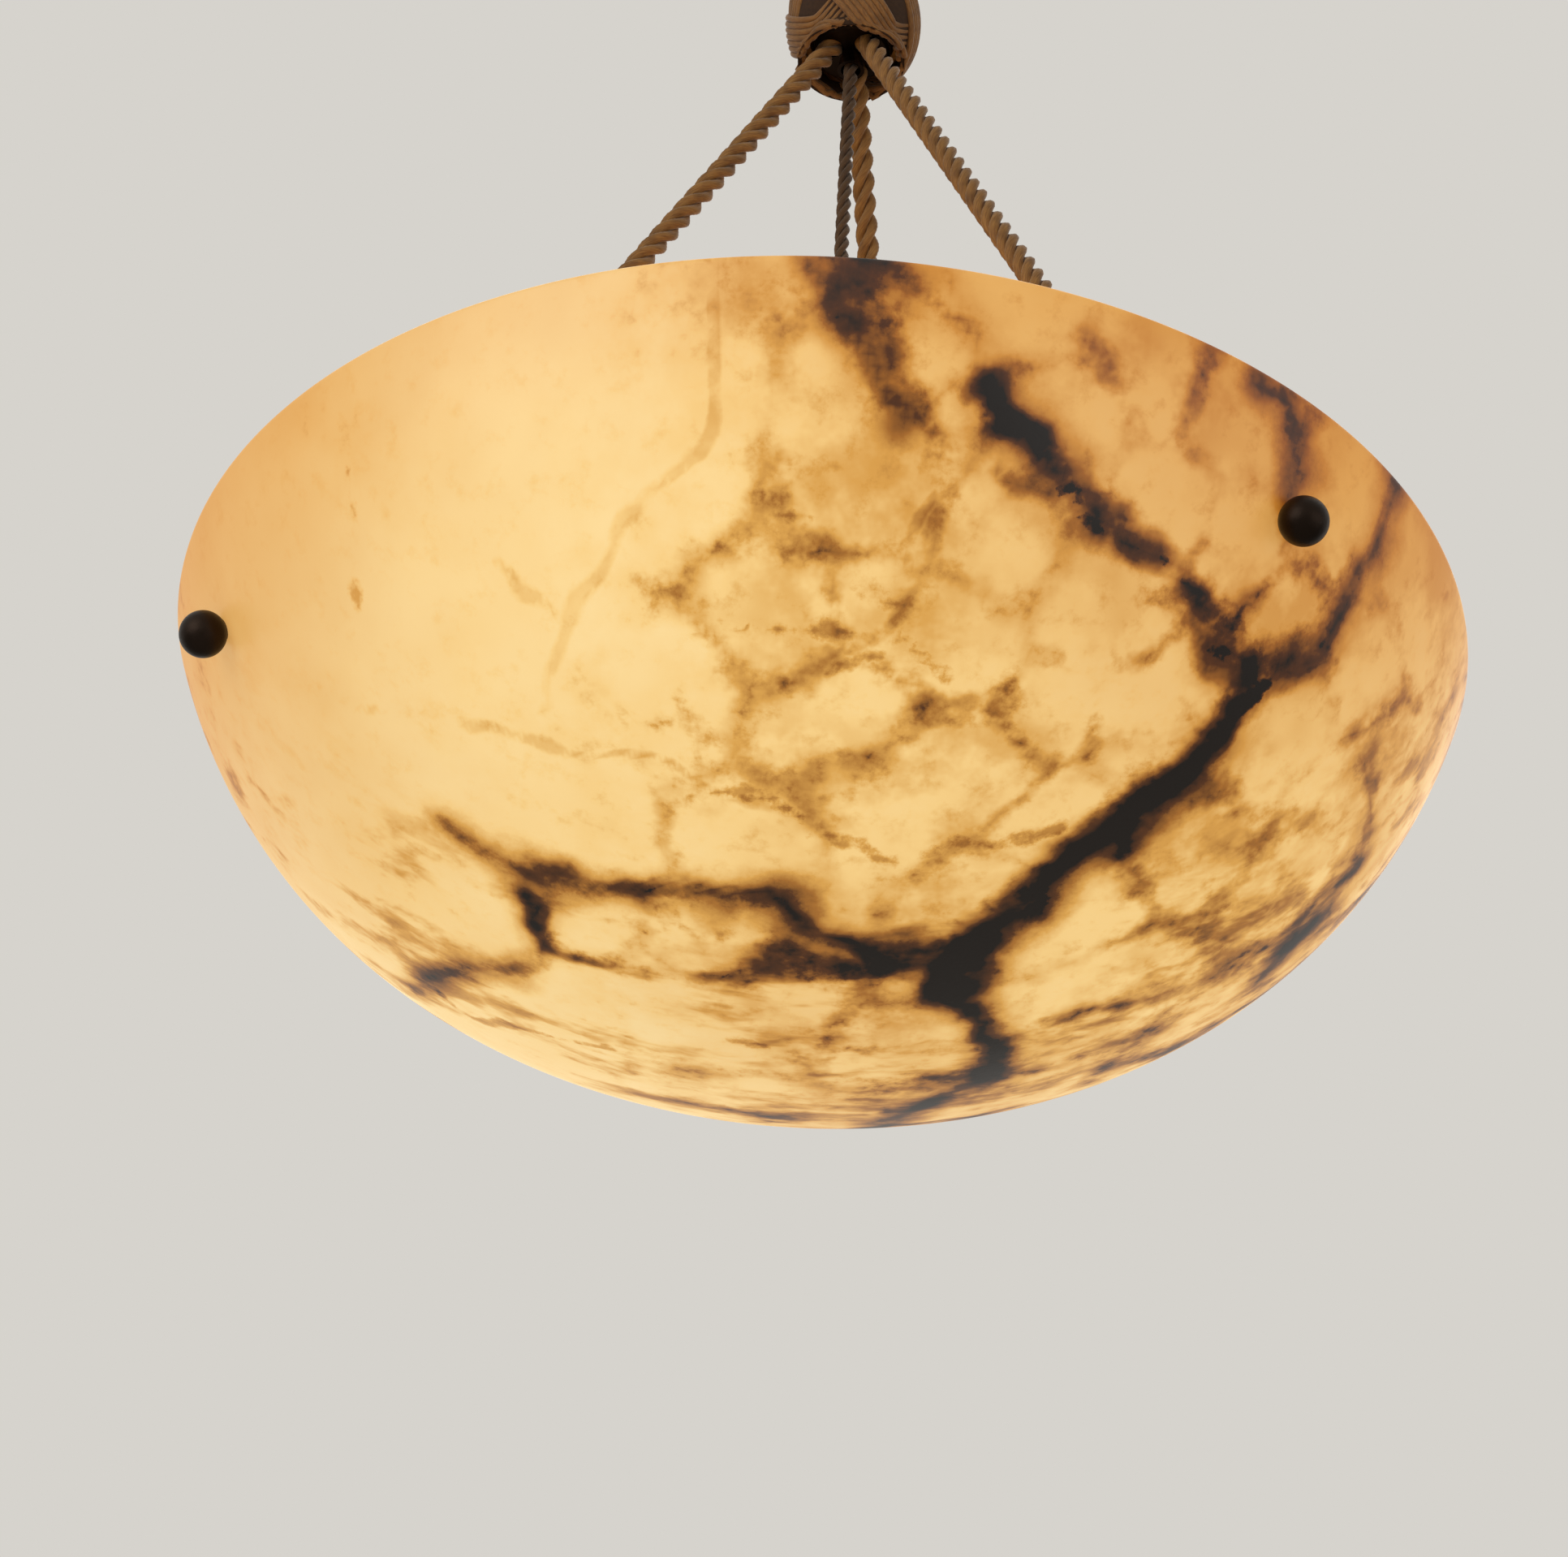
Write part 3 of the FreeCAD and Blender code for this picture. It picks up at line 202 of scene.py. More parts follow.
def route_points(name, points):
    """The points of a smooth spline along a route, as a curve with no bevel gives them."""
    data = bpy.data.curves.new(name, "CURVE")
    data.dimensions = "3D"
    data.resolution_u = CURVE_STEPS
    spline = data.splines.new("NURBS")
    spline.points.add(len(points) - 1)
    for place, point in zip(points, spline.points):
        point.co = (*place, 1.0)
    spline.order_u = 3
    spline.use_endpoint_u = True
    carrier = bpy.data.objects.new(name, data)
    bpy.context.scene.collection.objects.link(carrier)
    mesh = bpy.data.meshes.new_from_object(carrier)
    line = [vertex.co.copy() for vertex in mesh.vertices]
    bpy.data.objects.remove(carrier)
    bpy.data.curves.remove(data)
    bpy.data.meshes.remove(mesh)
    return line


def even_points(line, step):
    """The same line with points an even step apart."""
    lengths = [0.0]
    for before, after in zip(line, line[1:]):
        lengths.append(lengths[-1] + (after - before).length)
    count = max(2, round(lengths[-1] / step))
    result, index = [], 0
    for number in range(count + 1):
        target = lengths[-1] * number / count
        while index < len(line) - 2 and lengths[index + 1] < target:
            index += 1
        span = lengths[index + 1] - lengths[index]
        result.append(line[index].lerp(line[index + 1], (target - lengths[index]) / span))
    return result, lengths[-1]


def frames_along(line):
    """A pair of cross directions at each point that don't twist along the line."""
    frames = []
    across = None
    for index, point in enumerate(line):
        ahead = (line[min(index + 1, len(line) - 1)] - line[max(index - 1, 0)]).normalized()
        if across is None:
            across = ahead.orthogonal().normalized()
        across = (across - ahead * across.dot(ahead)).normalized()
        frames.append((across, ahead.cross(across)))
    return frames


print("rope lines ready")

# %% [markdown]
# A strand or a cord is a tube: small rings along such a line, joined side by side and
# closed at both ends. A UV map follows every tube, once round it and in the same scale
# along it, so the fibre texture runs along the tube whichever way it turns.
# %% Tubes along a line
def tube_faces(rings, around, first):
    """The faces of one tube of rings, closed at both ends."""
    faces = []
    for ring in range(rings - 1):
        for side in range(around):
            a = first + ring * around + side
            b = first + ring * around + (side + 1) % around
            faces.append((a, b, b + around, a + around))
    faces.append(tuple(first + side for side in reversed(range(around))))
    faces.append(tuple(first + (rings - 1) * around + side for side in range(around)))
    return faces


def tube_piece(name, vertices, faces, maps):
    """A smooth piece made of tubes. Maps gives each vertex its place round and along."""
    mesh = bpy.data.meshes.new(name)
    mesh.from_pydata(vertices, [], faces)
    layer = mesh.uv_layers.new(name="along")
    for polygon in mesh.polygons:
        wraps = {maps[v][0] for v in polygon.vertices}
        # a face that closes the ring goes from nearly 1 to 0, so its 0 is written as 1
        seam = len(polygon.vertices) == 4 and max(wraps) - min(wraps) > 0.5
        for loop in polygon.loop_indices:
            u, v = maps[mesh.loops[loop].vertex_index]
            layer.data[loop].uv = (u + 1.0 if seam and u < 0.5 else u, v)
    mesh.polygons.foreach_set("use_smooth", [True] * len(mesh.polygons))
    piece = bpy.data.objects.new(name, mesh)
    bpy.context.scene.collection.objects.link(piece)
    return piece


print("tube maker ready")

# %% [markdown]
# In a laid rope the strands turn round the rope's line, and each strand is ribbed by the
# yarns it is twisted from, which run the other way. Real geometry is used for both, since
# the ribs show at the rope's edge. The length of one turn of a strand is called the lay.
# %% Rope maker
STRAND_SHARE = 0.475        # a strand's radius in a rope of three, as a share of the rope's
RINGS_PER_LAY = 16
YARN_TURNS = 1.2            # turns of the yarns in one lay
YARN_RIB = 0.035            # half the depth of the ribs, as a share of a strand's radius


def rope(name, points, radius, lay, strands=3, thick=None, yarns=7, around=28):
    """A laid rope along a route. Returns the piece, its line and its length."""
    line, length = even_points(route_points(name + "_route", points), lay / RINGS_PER_LAY)
    frames = frames_along(line)
    thick = thick or radius * STRAND_SHARE
    out = radius - thick
    vertices, faces, maps = [], [], []
    for strand in range(strands):
        first = len(vertices)
        for index, (point, (across, other)) in enumerate(zip(line, frames)):
            along = length * index / (len(line) - 1)
            turn = 2 * math.pi * (along / lay + strand / strands)
            outward = across * math.cos(turn) + other * math.sin(turn)
            sideways = other * math.cos(turn) - across * math.sin(turn)
            middle = point + outward * out
            for side in range(around):
                angle = 2 * math.pi * side / around
                rib = math.cos(yarns * (angle + 2 * math.pi * YARN_TURNS * along / lay))
                reach = thick * (1.0 - YARN_RIB + YARN_RIB * rib)
                vertices.append(middle + (outward * math.cos(angle)
                                          + sideways * math.sin(angle)) * reach)
                maps.append((side / around, along / (2 * math.pi * thick)))
        faces += tube_faces(len(line), around, first)
    return tube_piece(name, vertices, faces, maps), line, length


print("rope maker ready")

# %% [markdown]
# Silk and jute rope: dull golden fibres with a soft sheen, each yarn a little lighter or
# darker. One noise, drawn out along the strand, is the single fibres, about 0.25 mm wide
# so that they show. A second one, on the piece as a whole, darkens it in patches.
# %% Rope fibre material
FIBRE_STRETCH = (34.0, 3.0, 1.0)   # round the strand, and along it
FIBRE_SLANT = 0.35


def fibre_material(name, light, dark, deep):
    """Twisted fibre in a light and a dark tone, and a deep one where it is soiled."""
    material, shader = new_material(name)
    place = add_node(material, "ShaderNodeUVMap", {"uv_map": "along"})
    stretch = add_node(material, "ShaderNodeMapping", Vector=place.outputs[0],
                       Scale=FIBRE_STRETCH, Rotation=(0.0, 0.0, FIBRE_SLANT))
    fibres = add_node(material, "ShaderNodeTexNoise", Vector=stretch.outputs[0],
                      Scale=1.0, Detail=3.0, Roughness=0.6)
    ramp = add_node(material, "ShaderNodeValToRGB", Fac=fibres.outputs["Fac"])
    for element, at, colour in zip(ramp.color_ramp.elements, (0.32, 0.68), (dark, light)):
        element.position = at
        element.color = linear(colour)
    spots = add_node(material, "ShaderNodeTexCoord")
    tone = add_node(material, "ShaderNodeTexNoise", Vector=spots.outputs["Object"],
                    Scale=160.0, Detail=2.0)
    soiled = add_node(material, "ShaderNodeMapRange", Value=tone.outputs["Fac"],
                      From_Min=0.45, From_Max=0.8, To_Min=0.0, To_Max=0.55)
    shade = add_node(material, "ShaderNodeMix", {"data_type": "RGBA"},
                     i0=soiled.outputs["Result"], i6=ramp.outputs["Color"], i7=linear(deep))
    bump = add_node(material, "ShaderNodeBump", Height=fibres.outputs["Fac"],
                    Strength=0.5, Distance=0.25 * MM)
    link(material, shade.outputs[2], shader.inputs["Base Color"])
    link(material, bump.outputs["Normal"], shader.inputs["Normal"])
    shader.inputs["Roughness"].default_value = 0.72
    shader.inputs["Sheen Weight"].default_value = 0.25
    shader.inputs["Sheen Roughness"].default_value = 0.4
    return material


rope_fibre = fibre_material("laid_silk_rope", "#B58545", "#7A4F22", "#4A2A10")
print("rope fibre ready")

# %% [markdown]
# The three slings run straight from the gather cap inside the knob to the hook caps
# inside the bowl. They are taut, so each is a straight run of the same length and
# diameter as its solid.
# %% Slings
APEX = -186 * MM                                      # where the three axes meet
SLING_RADIUS = 4.15 * MM
SLING_LAY = 24 * MM
SLING_START, SLING_END = 11.0 * MM, 324.615 * MM      # reaches from the apex
SLING_LEAN = math.asin(0.452349)                      # away from straight down
SLING_TURNS = [math.radians(turn) for turn in (-47.0, 75.7, 198.4)]
for number, turn in enumerate(SLING_TURNS, start=1):
    heading = Vector((math.sin(SLING_LEAN) * math.cos(turn),
                      math.sin(SLING_LEAN) * math.sin(turn), -math.cos(SLING_LEAN)))
    ends = [Vector((0, 0, APEX)) + heading * reach for reach in (SLING_START, SLING_END)]
    route = [ends[0].lerp(ends[1], part) for part in (0.0, 0.2, 0.5, 0.8, 1.0)]
    piece, line, length = rope(f"sling_{number}", route, SLING_RADIUS, SLING_LAY)
    piece.data.materials.append(rope_fibre)
    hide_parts(f"sling_rope_{number}")
    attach(piece, "bowl_group")
    print(piece.name, round(length, 4), "m")

# %% [markdown]
# The flex is one cable in three lengths: inside the main rope, from the rope's socket to
# the gather cap, and down to the lamps. Its sheath is a braided dark gold sleeve over
# three twisted cores, so it is drawn as three fat strands with a fine rib.
# %% Flex
ROPE_TOP, ROPE_FOOT = -70.648, -162.8        # all in millimetres
BIGHT_TOP, BIGHT_FOOT, BIGHT_ASIDE = -166.1, -192.2, 4.1
LEAD_TOP, LEAD_FOOT = -201.9, -475.6
CORE_R, BIGHT_R, LEAD_R = 3.0, 2.2, 2.6
flex_fibre = fibre_material("braided_flex_sleeve", "#6F4E28", "#3E2A16", "#20140B")


def straight_flex(name, node_name, top, foot, aside, radius, lay):
    """One straight taut length of flex beside or on the axis, in millimetres."""
    ends = [Vector((aside * MM, aside * MM, top * MM)),
            Vector((aside * MM, aside * MM, foot * MM))]
    route = [ends[0].lerp(ends[1], part) for part in (0.0, 0.25, 0.5, 0.75, 1.0)]
    piece, line, length = rope(name, route, radius * MM, lay * MM, yarns=9, around=20)
    piece.data.materials.append(flex_fibre)
    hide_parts(node_name)
    print(name, round(length, 4), "m")
    return piece, line, length


# this short length crosses the small ring's swing, so it is kept in place on no body
bight, _, _ = straight_flex("flex_at_gather", "knob_flex", BIGHT_TOP, BIGHT_FOOT,
                            BIGHT_ASIDE, BIGHT_R, lay=14)
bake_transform(bight)
core, core_line, core_length = straight_flex("flex_in_rope", "flex_core", ROPE_TOP,
                                             ROPE_FOOT, 0.0, CORE_R, lay=20)
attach(core, "rope_and_knob")
lead, lead_line, lead_length = straight_flex("lead_to_lamps", "lamp_lead", LEAD_TOP,
                                             LEAD_FOOT, 0.0, LEAD_R, lay=18)
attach(lead, "lead")

# %% [markdown]
# The main rope is laid round the flex, so it has ten thin strands side by side round a
# core, where a sling has three. It runs from the top cap into the knob's socket.
# %% Main rope
ROPE_R, STRAND_R, ROPE_LAY = 6.0, 1.45, 46
route = [Vector((0, 0, (ROPE_TOP + (ROPE_FOOT - ROPE_TOP) * part) * MM))
         for part in (0.0, 0.25, 0.5, 0.75, 1.0)]
main, main_line, main_length = rope("rope_from_ceiling", route, ROPE_R * MM, ROPE_LAY * MM,
                                    strands=10, thick=STRAND_R * MM, yarns=4, around=12)
main.data.materials.append(rope_fibre)
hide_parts("main_rope")
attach(main, "rope_and_knob")
print("main rope", round(main_length, 4), "m")

# %% [markdown]
# Three insulated wires go slack from the top cap, up beside the hook and over to the
# terminal block. Each has smooth brown plastic round it, so it is a rope of one strand.
# The ring swings between the cap and the ceiling, so the wires are kept in place on no body.
# %% Wires in the canopy
WIRE_R = 1.0
ENTRY_ASIDE, ENTRY_CIRCLE = 4.8, 1.3    # the three holes lie on a small circle in the cap
WAY_SPACING = 8.0
wire_plastic, wire_shader = new_material("pvc_wire_insulation")
wire_place = add_node(wire_plastic, "ShaderNodeTexCoord")
wire_noise = add_node(wire_plastic, "ShaderNodeTexNoise", Vector=wire_place.outputs["Object"],
                      Scale=90.0, Detail=2.0)
wire_tone = add_node(wire_plastic, "ShaderNodeMix", {"data_type": "RGBA"},
                     i0=wire_noise.outputs["Fac"], i6=linear("#7A5124"), i7=linear("#8E6534"))
link(wire_plastic, wire_tone.outputs[2], wire_shader.inputs["Base Color"])
wire_shader.inputs["Roughness"].default_value = 0.42
for way in (-1, 0, 1):
    turn = math.radians(90 - 120 * way)
    x, y = ENTRY_ASIDE + ENTRY_CIRCLE * math.cos(turn), ENTRY_ASIDE + ENTRY_CIRCLE * math.sin(turn)
    across = WAY_SPACING * way
    route = [Vector(point) * MM for point in (
        (x, y, -67.348), (x, y, -56.348),                    # up out of the cap
        (across * 0.45 + 7, 19, -46),                        # aside, past the hook
        (across, 32.5, -33), (across, 32.5, -17.5),          # up beyond the block
        (across, 21, -17.5))]                                # back into its terminal
    piece, line, length = rope(f"wire_{way + 2}", route, WIRE_R * MM, 26 * MM, strands=1,
                               thick=WIRE_R * MM, around=12)
    piece.data.materials.append(wire_plastic)
    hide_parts("canopy_wires")
    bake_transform(piece)
    print(piece.name, round(length, 4), "m")

# %% [markdown]
# The knob's cover is a plait worked over a turned mould. The plait lies on the mould's
# side, so that side comes first: up the inside of the hollow, round the foot, out and up
# over two arcs, and in over the top. Each row of the outline is a radius, a height above
# the foot and the way that it faces, so that a cord can be laid at any depth below it.
# %% Outline of the knob's side
KNOB_FOOT = -206.0
KNOB_R, EQUATOR, KNOB_TALL = 24.5, 22.0, 52.0
HOLLOW_R, LIP_R, FOOT_R, LIP_TALL = 16.0, 16.6, 18.6, 8.0
TOP_R, TOP_HOLE_R = 13.97, 9.1
SIDE = [(HOLLOW_R + (LIP_R - HOLLOW_R) * step / 4, LIP_TALL - LIP_TALL * step / 4, -1.0, 0.0)
        for step in range(5)]
SIDE += [(LIP_R + (FOOT_R - LIP_R) * step / 4, 0.0, 0.0, -1.0) for step in range(1, 5)]
for swell, start, end, steps in ((44.0, -30.0, 0.0, 20), (48.0, 0.0, 38.68, 24)):
    for step in range(1, steps + 1):
        turn = math.radians(start + (end - start) * step / steps)
        SIDE.append((KNOB_R - swell + swell * math.cos(turn),
                     EQUATOR + swell * math.sin(turn), math.cos(turn), math.sin(turn)))
SIDE += [(TOP_R - (TOP_R - TOP_HOLE_R) * step / 4, KNOB_TALL, 0.0, 1.0)
         for step in range(1, 5)]
side_along = [0.0]
for before, after in zip(SIDE, SIDE[1:]):
    side_along.append(side_along[-1] + math.hypot(after[0] - before[0], after[1] - before[1]))


def on_side(along, depth, turn):
    """A point of the knob's side, a depth in millimetres inside its outline."""
    r, z, out, rise = (float(np.interp(along, side_along, [row[k] for row in SIDE]))
                       for k in range(4))
    tidy = math.hypot(out, rise)
    r, z = r - depth * out / tidy, z - depth * rise / tidy
    return Vector((r * math.cos(turn), r * math.sin(turn), z + KNOB_FOOT)) * MM, r


print("outline of the knob", round(side_along[-1], 1), "mm")

# %% [markdown]
# The plait is a Turk's head of three leads and four bights. One flat band of seven
# parallel cords goes three times round, and its middle swings up and down the knob's side
# four times as it goes. It also rises and sinks, so that it passes under and over itself.
# Three single cords close the top.
# %% Cords of the plait
CORD_R, CORD_PITCH, CORDS, CORD_SIDES = 1.15, 2.15, 7, 10
LEADS, BIGHTS = 3, 4
LOW, HIGH = 3.0, 65.4                   # the band's edges, measured along the knob's side
BAND_DEPTH, BAND_DIP = 1.9, 1.1
FIRST_BIGHT = math.radians(-67.5)       # turned until the photograph's crossing is in front
TOP_RINGS, TOP_RING_DEPTH = (1.4, 3.6, 5.8), 1.2
swing = (HIGH - LOW - CORD_PITCH * CORDS) / 2
middle = (HIGH + LOW) / 2


def band_point(turn, offset):
    """Where one cord of the band runs, at a turn round the knob."""
    swung = (turn - FIRST_BIGHT) * BIGHTS / LEADS
    along = middle + swing * math.sin(swung)
    _, r = on_side(along, 0.0, 0.0)
    climb = swing * BIGHTS / LEADS * math.cos(swung)
    span = math.hypot(climb, r)
    depth = BAND_DEPTH - BAND_DIP * math.sin(2 * swung)
    return on_side(along + offset * r / span, depth, turn - offset * climb / span / r)[0]


runs = []
for cord in range(CORDS):
    offset = (cord - (CORDS - 1) / 2) * CORD_PITCH
    runs.append([band_point(2 * math.pi * LEADS * step / 300, offset) for step in range(301)])
for down in TOP_RINGS:
    runs.append([on_side(side_along[-1] - down, TOP_RING_DEPTH, 2 * math.pi * step / 60)[0]
                 for step in range(61)])
print("plait of", len(runs), "cords, swing", round(swing, 1), "mm")

# %% [markdown]
# Each cord is now a tube of small rings along its run, and all of them are one piece. The
# fibre is the rope's, in a slightly duller tone.
# %% Plait of the knob
vertices, faces, maps = [], [], []
for points in runs:
    first, travelled = len(vertices), 0.0
    for index, (point, (across, other)) in enumerate(zip(points, frames_along(points))):
        if index:
            travelled += (point - points[index - 1]).length
        for side in range(CORD_SIDES):
            angle = 2 * math.pi * side / CORD_SIDES
            vertices.append(point + (across * math.cos(angle)
                                     + other * math.sin(angle)) * CORD_R * MM)
            maps.append((side / CORD_SIDES, travelled / (2 * math.pi * CORD_R * MM)))
    faces += tube_faces(len(points), CORD_SIDES, first)
plait = tube_piece("knob_plait", vertices, faces, maps)
# the cord's orange is partly its own colour and partly painted warm light from the bowl
plait.data.materials.append(fibre_material("plaited_knob_cord", "#A87638", "#6E4520", "#3E2410"))
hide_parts("knob_cover")
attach(plait, "rope_and_knob")
print("knob plait", len(faces), "faces")

# %% [markdown]
# Under the plait lies a thin dark lining, which closes the gaps between the bands; its dark brown
# is painted shade.
# Its outline is a ring of points, started as a circle and moved to the knob's side, and it
# is spun once round. The bowl is spun by the same helper later.
# %% Lining of the knob
def spun(name, outline, steps):
    """Spin a closed outline of (r, z) millimetres round the Z axis into a clean solid."""
    deselect()
    bpy.ops.mesh.primitive_circle_add(vertices=len(outline), radius=1.0)
    piece = bpy.context.object
    piece.name = name
    for vertex, (r, z) in zip(piece.data.vertices, outline):
        vertex.co = (r * MM, 0.0, z * MM)
    bpy.ops.object.mode_set(mode="EDIT")
    bpy.ops.mesh.select_all(action="SELECT")
    bpy.ops.mesh.spin(steps=steps, angle=2 * math.pi, center=(0, 0, 0), axis=(0, 0, 1))
    bpy.ops.mesh.select_all(action="SELECT")
    bpy.ops.mesh.remove_doubles(threshold=0.00002)
    bpy.ops.mesh.normals_make_consistent(inside=False)
    bpy.ops.object.mode_set(mode="OBJECT")
    deselect()
    return piece


LINING_OUTSIDE, LINING_INSIDE = 2.0, 2.35     # depths below the plait's outline
lining_outline = []
for depth, order in ((LINING_OUTSIDE, 1), (LINING_INSIDE, -1)):
    row = []
    for index in range(0, len(SIDE), 2):
        point, _ = on_side(side_along[index], depth, 0.0)
        row.append((point.x / MM, point.z / MM))
    lining_outline += row[::order]
lining = spun("knob_shade_lining", lining_outline, 72)
for polygon in lining.data.polygons:
    polygon.use_smooth = True
# the lining's dark brown is painted shade, seen between the plait's bands
lining_shade_paint, lining_shade_shader = new_material("painted_shade_lining")
lining_shade_place = add_node(lining_shade_paint, "ShaderNodeTexCoord")
lining_shade_noise = add_node(lining_shade_paint, "ShaderNodeTexNoise", Vector=lining_shade_place.outputs["Object"],
                      Scale=700.0, Detail=4.0)
lining_shade_tone = add_node(lining_shade_paint, "ShaderNodeMix", {"data_type": "RGBA"},
                     i0=lining_shade_noise.outputs["Fac"], i6=linear("#2A1A0D"), i7=linear("#4A301A"))
link(lining_shade_paint, lining_shade_tone.outputs[2], lining_shade_shader.inputs["Base Color"])
lining_shade_shader.inputs["Roughness"].default_value = 0.95
lining.data.materials.append(lining_shade_paint)
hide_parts("knob_cover")
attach(lining, "rope_and_knob")
print("lining", len(lining.data.polygons), "faces")

# %% [markdown]
# The bowl is carved from one block of alabaster and turned smooth. Its outline is two
# arcs outside, two arcs inside and a rim with soft edges. The outline is spun finely and
# evenly, because the veins are worked out at its vertices.
# %% Bowl outline
CROWN, SHOULDER, WALL = 266.0, 151.8348, 10.5
CROWN_RISE, SHOULDER_OUT, SHOULDER_RISE = 146.0, 55.34839, 46.14887
CROWN_TURN = math.radians(29.0)
RIM_ROUND = 2.0


def arc(centre, radius, start, end, steps):
    """Points (r, z) on an arc; its angles are measured from straight down."""
    return [(centre[0] + radius * math.sin(start + (end - start) * step / steps),
             centre[1] - radius * math.cos(start + (end - start) * step / steps))
            for step in range(steps + 1)]


def rim_turn(radius):
    """The angle at which a shoulder arc of this radius reaches the rim."""
    return math.acos(SHOULDER_RISE / radius)


outer_turn, inner_turn = rim_turn(SHOULDER), rim_turn(SHOULDER - WALL)
soft = RIM_ROUND * 1.15
outer = (arc((0.0, CROWN_RISE), CROWN, 0.0, CROWN_TURN, 44)
         + arc((SHOULDER_OUT, SHOULDER_RISE), SHOULDER, CROWN_TURN,
               outer_turn - soft / SHOULDER, 36)[1:])
inner = (arc((0.0, CROWN_RISE), CROWN - WALL, 0.0, CROWN_TURN, 30)
         + arc((SHOULDER_OUT, SHOULDER_RISE), SHOULDER - WALL, CROWN_TURN,
               inner_turn - soft / SHOULDER, 24)[1:])
outer_edge = SHOULDER_OUT + SHOULDER * math.sin(outer_turn)
inner_edge = SHOULDER_OUT + (SHOULDER - WALL) * math.sin(inner_turn)


def soft_edge(start, corner, end, steps=5):
    """A rounded corner of the outline."""
    return [tuple((1 - t) ** 2 * a + 2 * t * (1 - t) * b + t ** 2 * c
                  for a, b, c in zip(start, corner, end))
            for t in (step / steps for step in range(1, steps))]


rim_outer, rim_inner = (outer_edge - RIM_ROUND, 0.0), (inner_edge + RIM_ROUND, 0.0)
bowl_outline = (outer + soft_edge(outer[-1], (outer_edge, 0.0), rim_outer)
                + [rim_outer, (outer_edge - WALL / 2, 0.0), rim_inner]
                + soft_edge(rim_inner, (inner_edge, 0.0), inner[-1]) + inner[::-1])
bowl_outline = [(r, z + RIM_Z) for r, z in bowl_outline]
print("bowl outline", len(bowl_outline), "points, rim", round(outer_edge, 2), "mm")

# %% [markdown]
# The bowl is spun, and the three anchor holes are then drilled through its wall, each
# with a cylinder that stands square to the skin. A boolean takes the cylinder's shape out
# of the stone, which gives a cleaner hole than any edit of the spun faces.
# %% Anchor holes
stone = spun("carved_bowl", bowl_outline, 420)
DRILL_R, DRILL_LONG = 3.4, 60.0
HOLE_R, HOLE_DROP = 185.76, 31.6         # from the axis, and below the rim
HOLE_OUT, HOLE_DOWN = 0.8589, 0.5121     # the way each hole faces
for turn in SLING_TURNS:
    out = Vector((HOLE_OUT * math.cos(turn), HOLE_OUT * math.sin(turn), -HOLE_DOWN))
    place = Vector((HOLE_R * math.cos(turn), HOLE_R * math.sin(turn), RIM_Z - HOLE_DROP))
    deselect()
    bpy.ops.mesh.primitive_cylinder_add(vertices=24, radius=DRILL_R * MM,
                                        depth=DRILL_LONG * MM, location=place * MM,
                                        rotation=out.to_track_quat("Z", "Y").to_euler())
    drill = bpy.context.object
    deselect()
    stone.select_set(True)
    bpy.context.view_layer.objects.active = stone
    cut = stone.modifiers.new("anchor_hole", "BOOLEAN")
    cut.operation = "DIFFERENCE"
    cut.object = drill
    bpy.ops.object.modifier_apply(modifier=cut.name)
    bpy.data.objects.remove(drill)
bpy.ops.object.shade_smooth_by_angle(angle=math.radians(40))
deselect()
print("bowl", len(stone.data.vertices), "vertices,", len(stone.data.polygons), "faces")
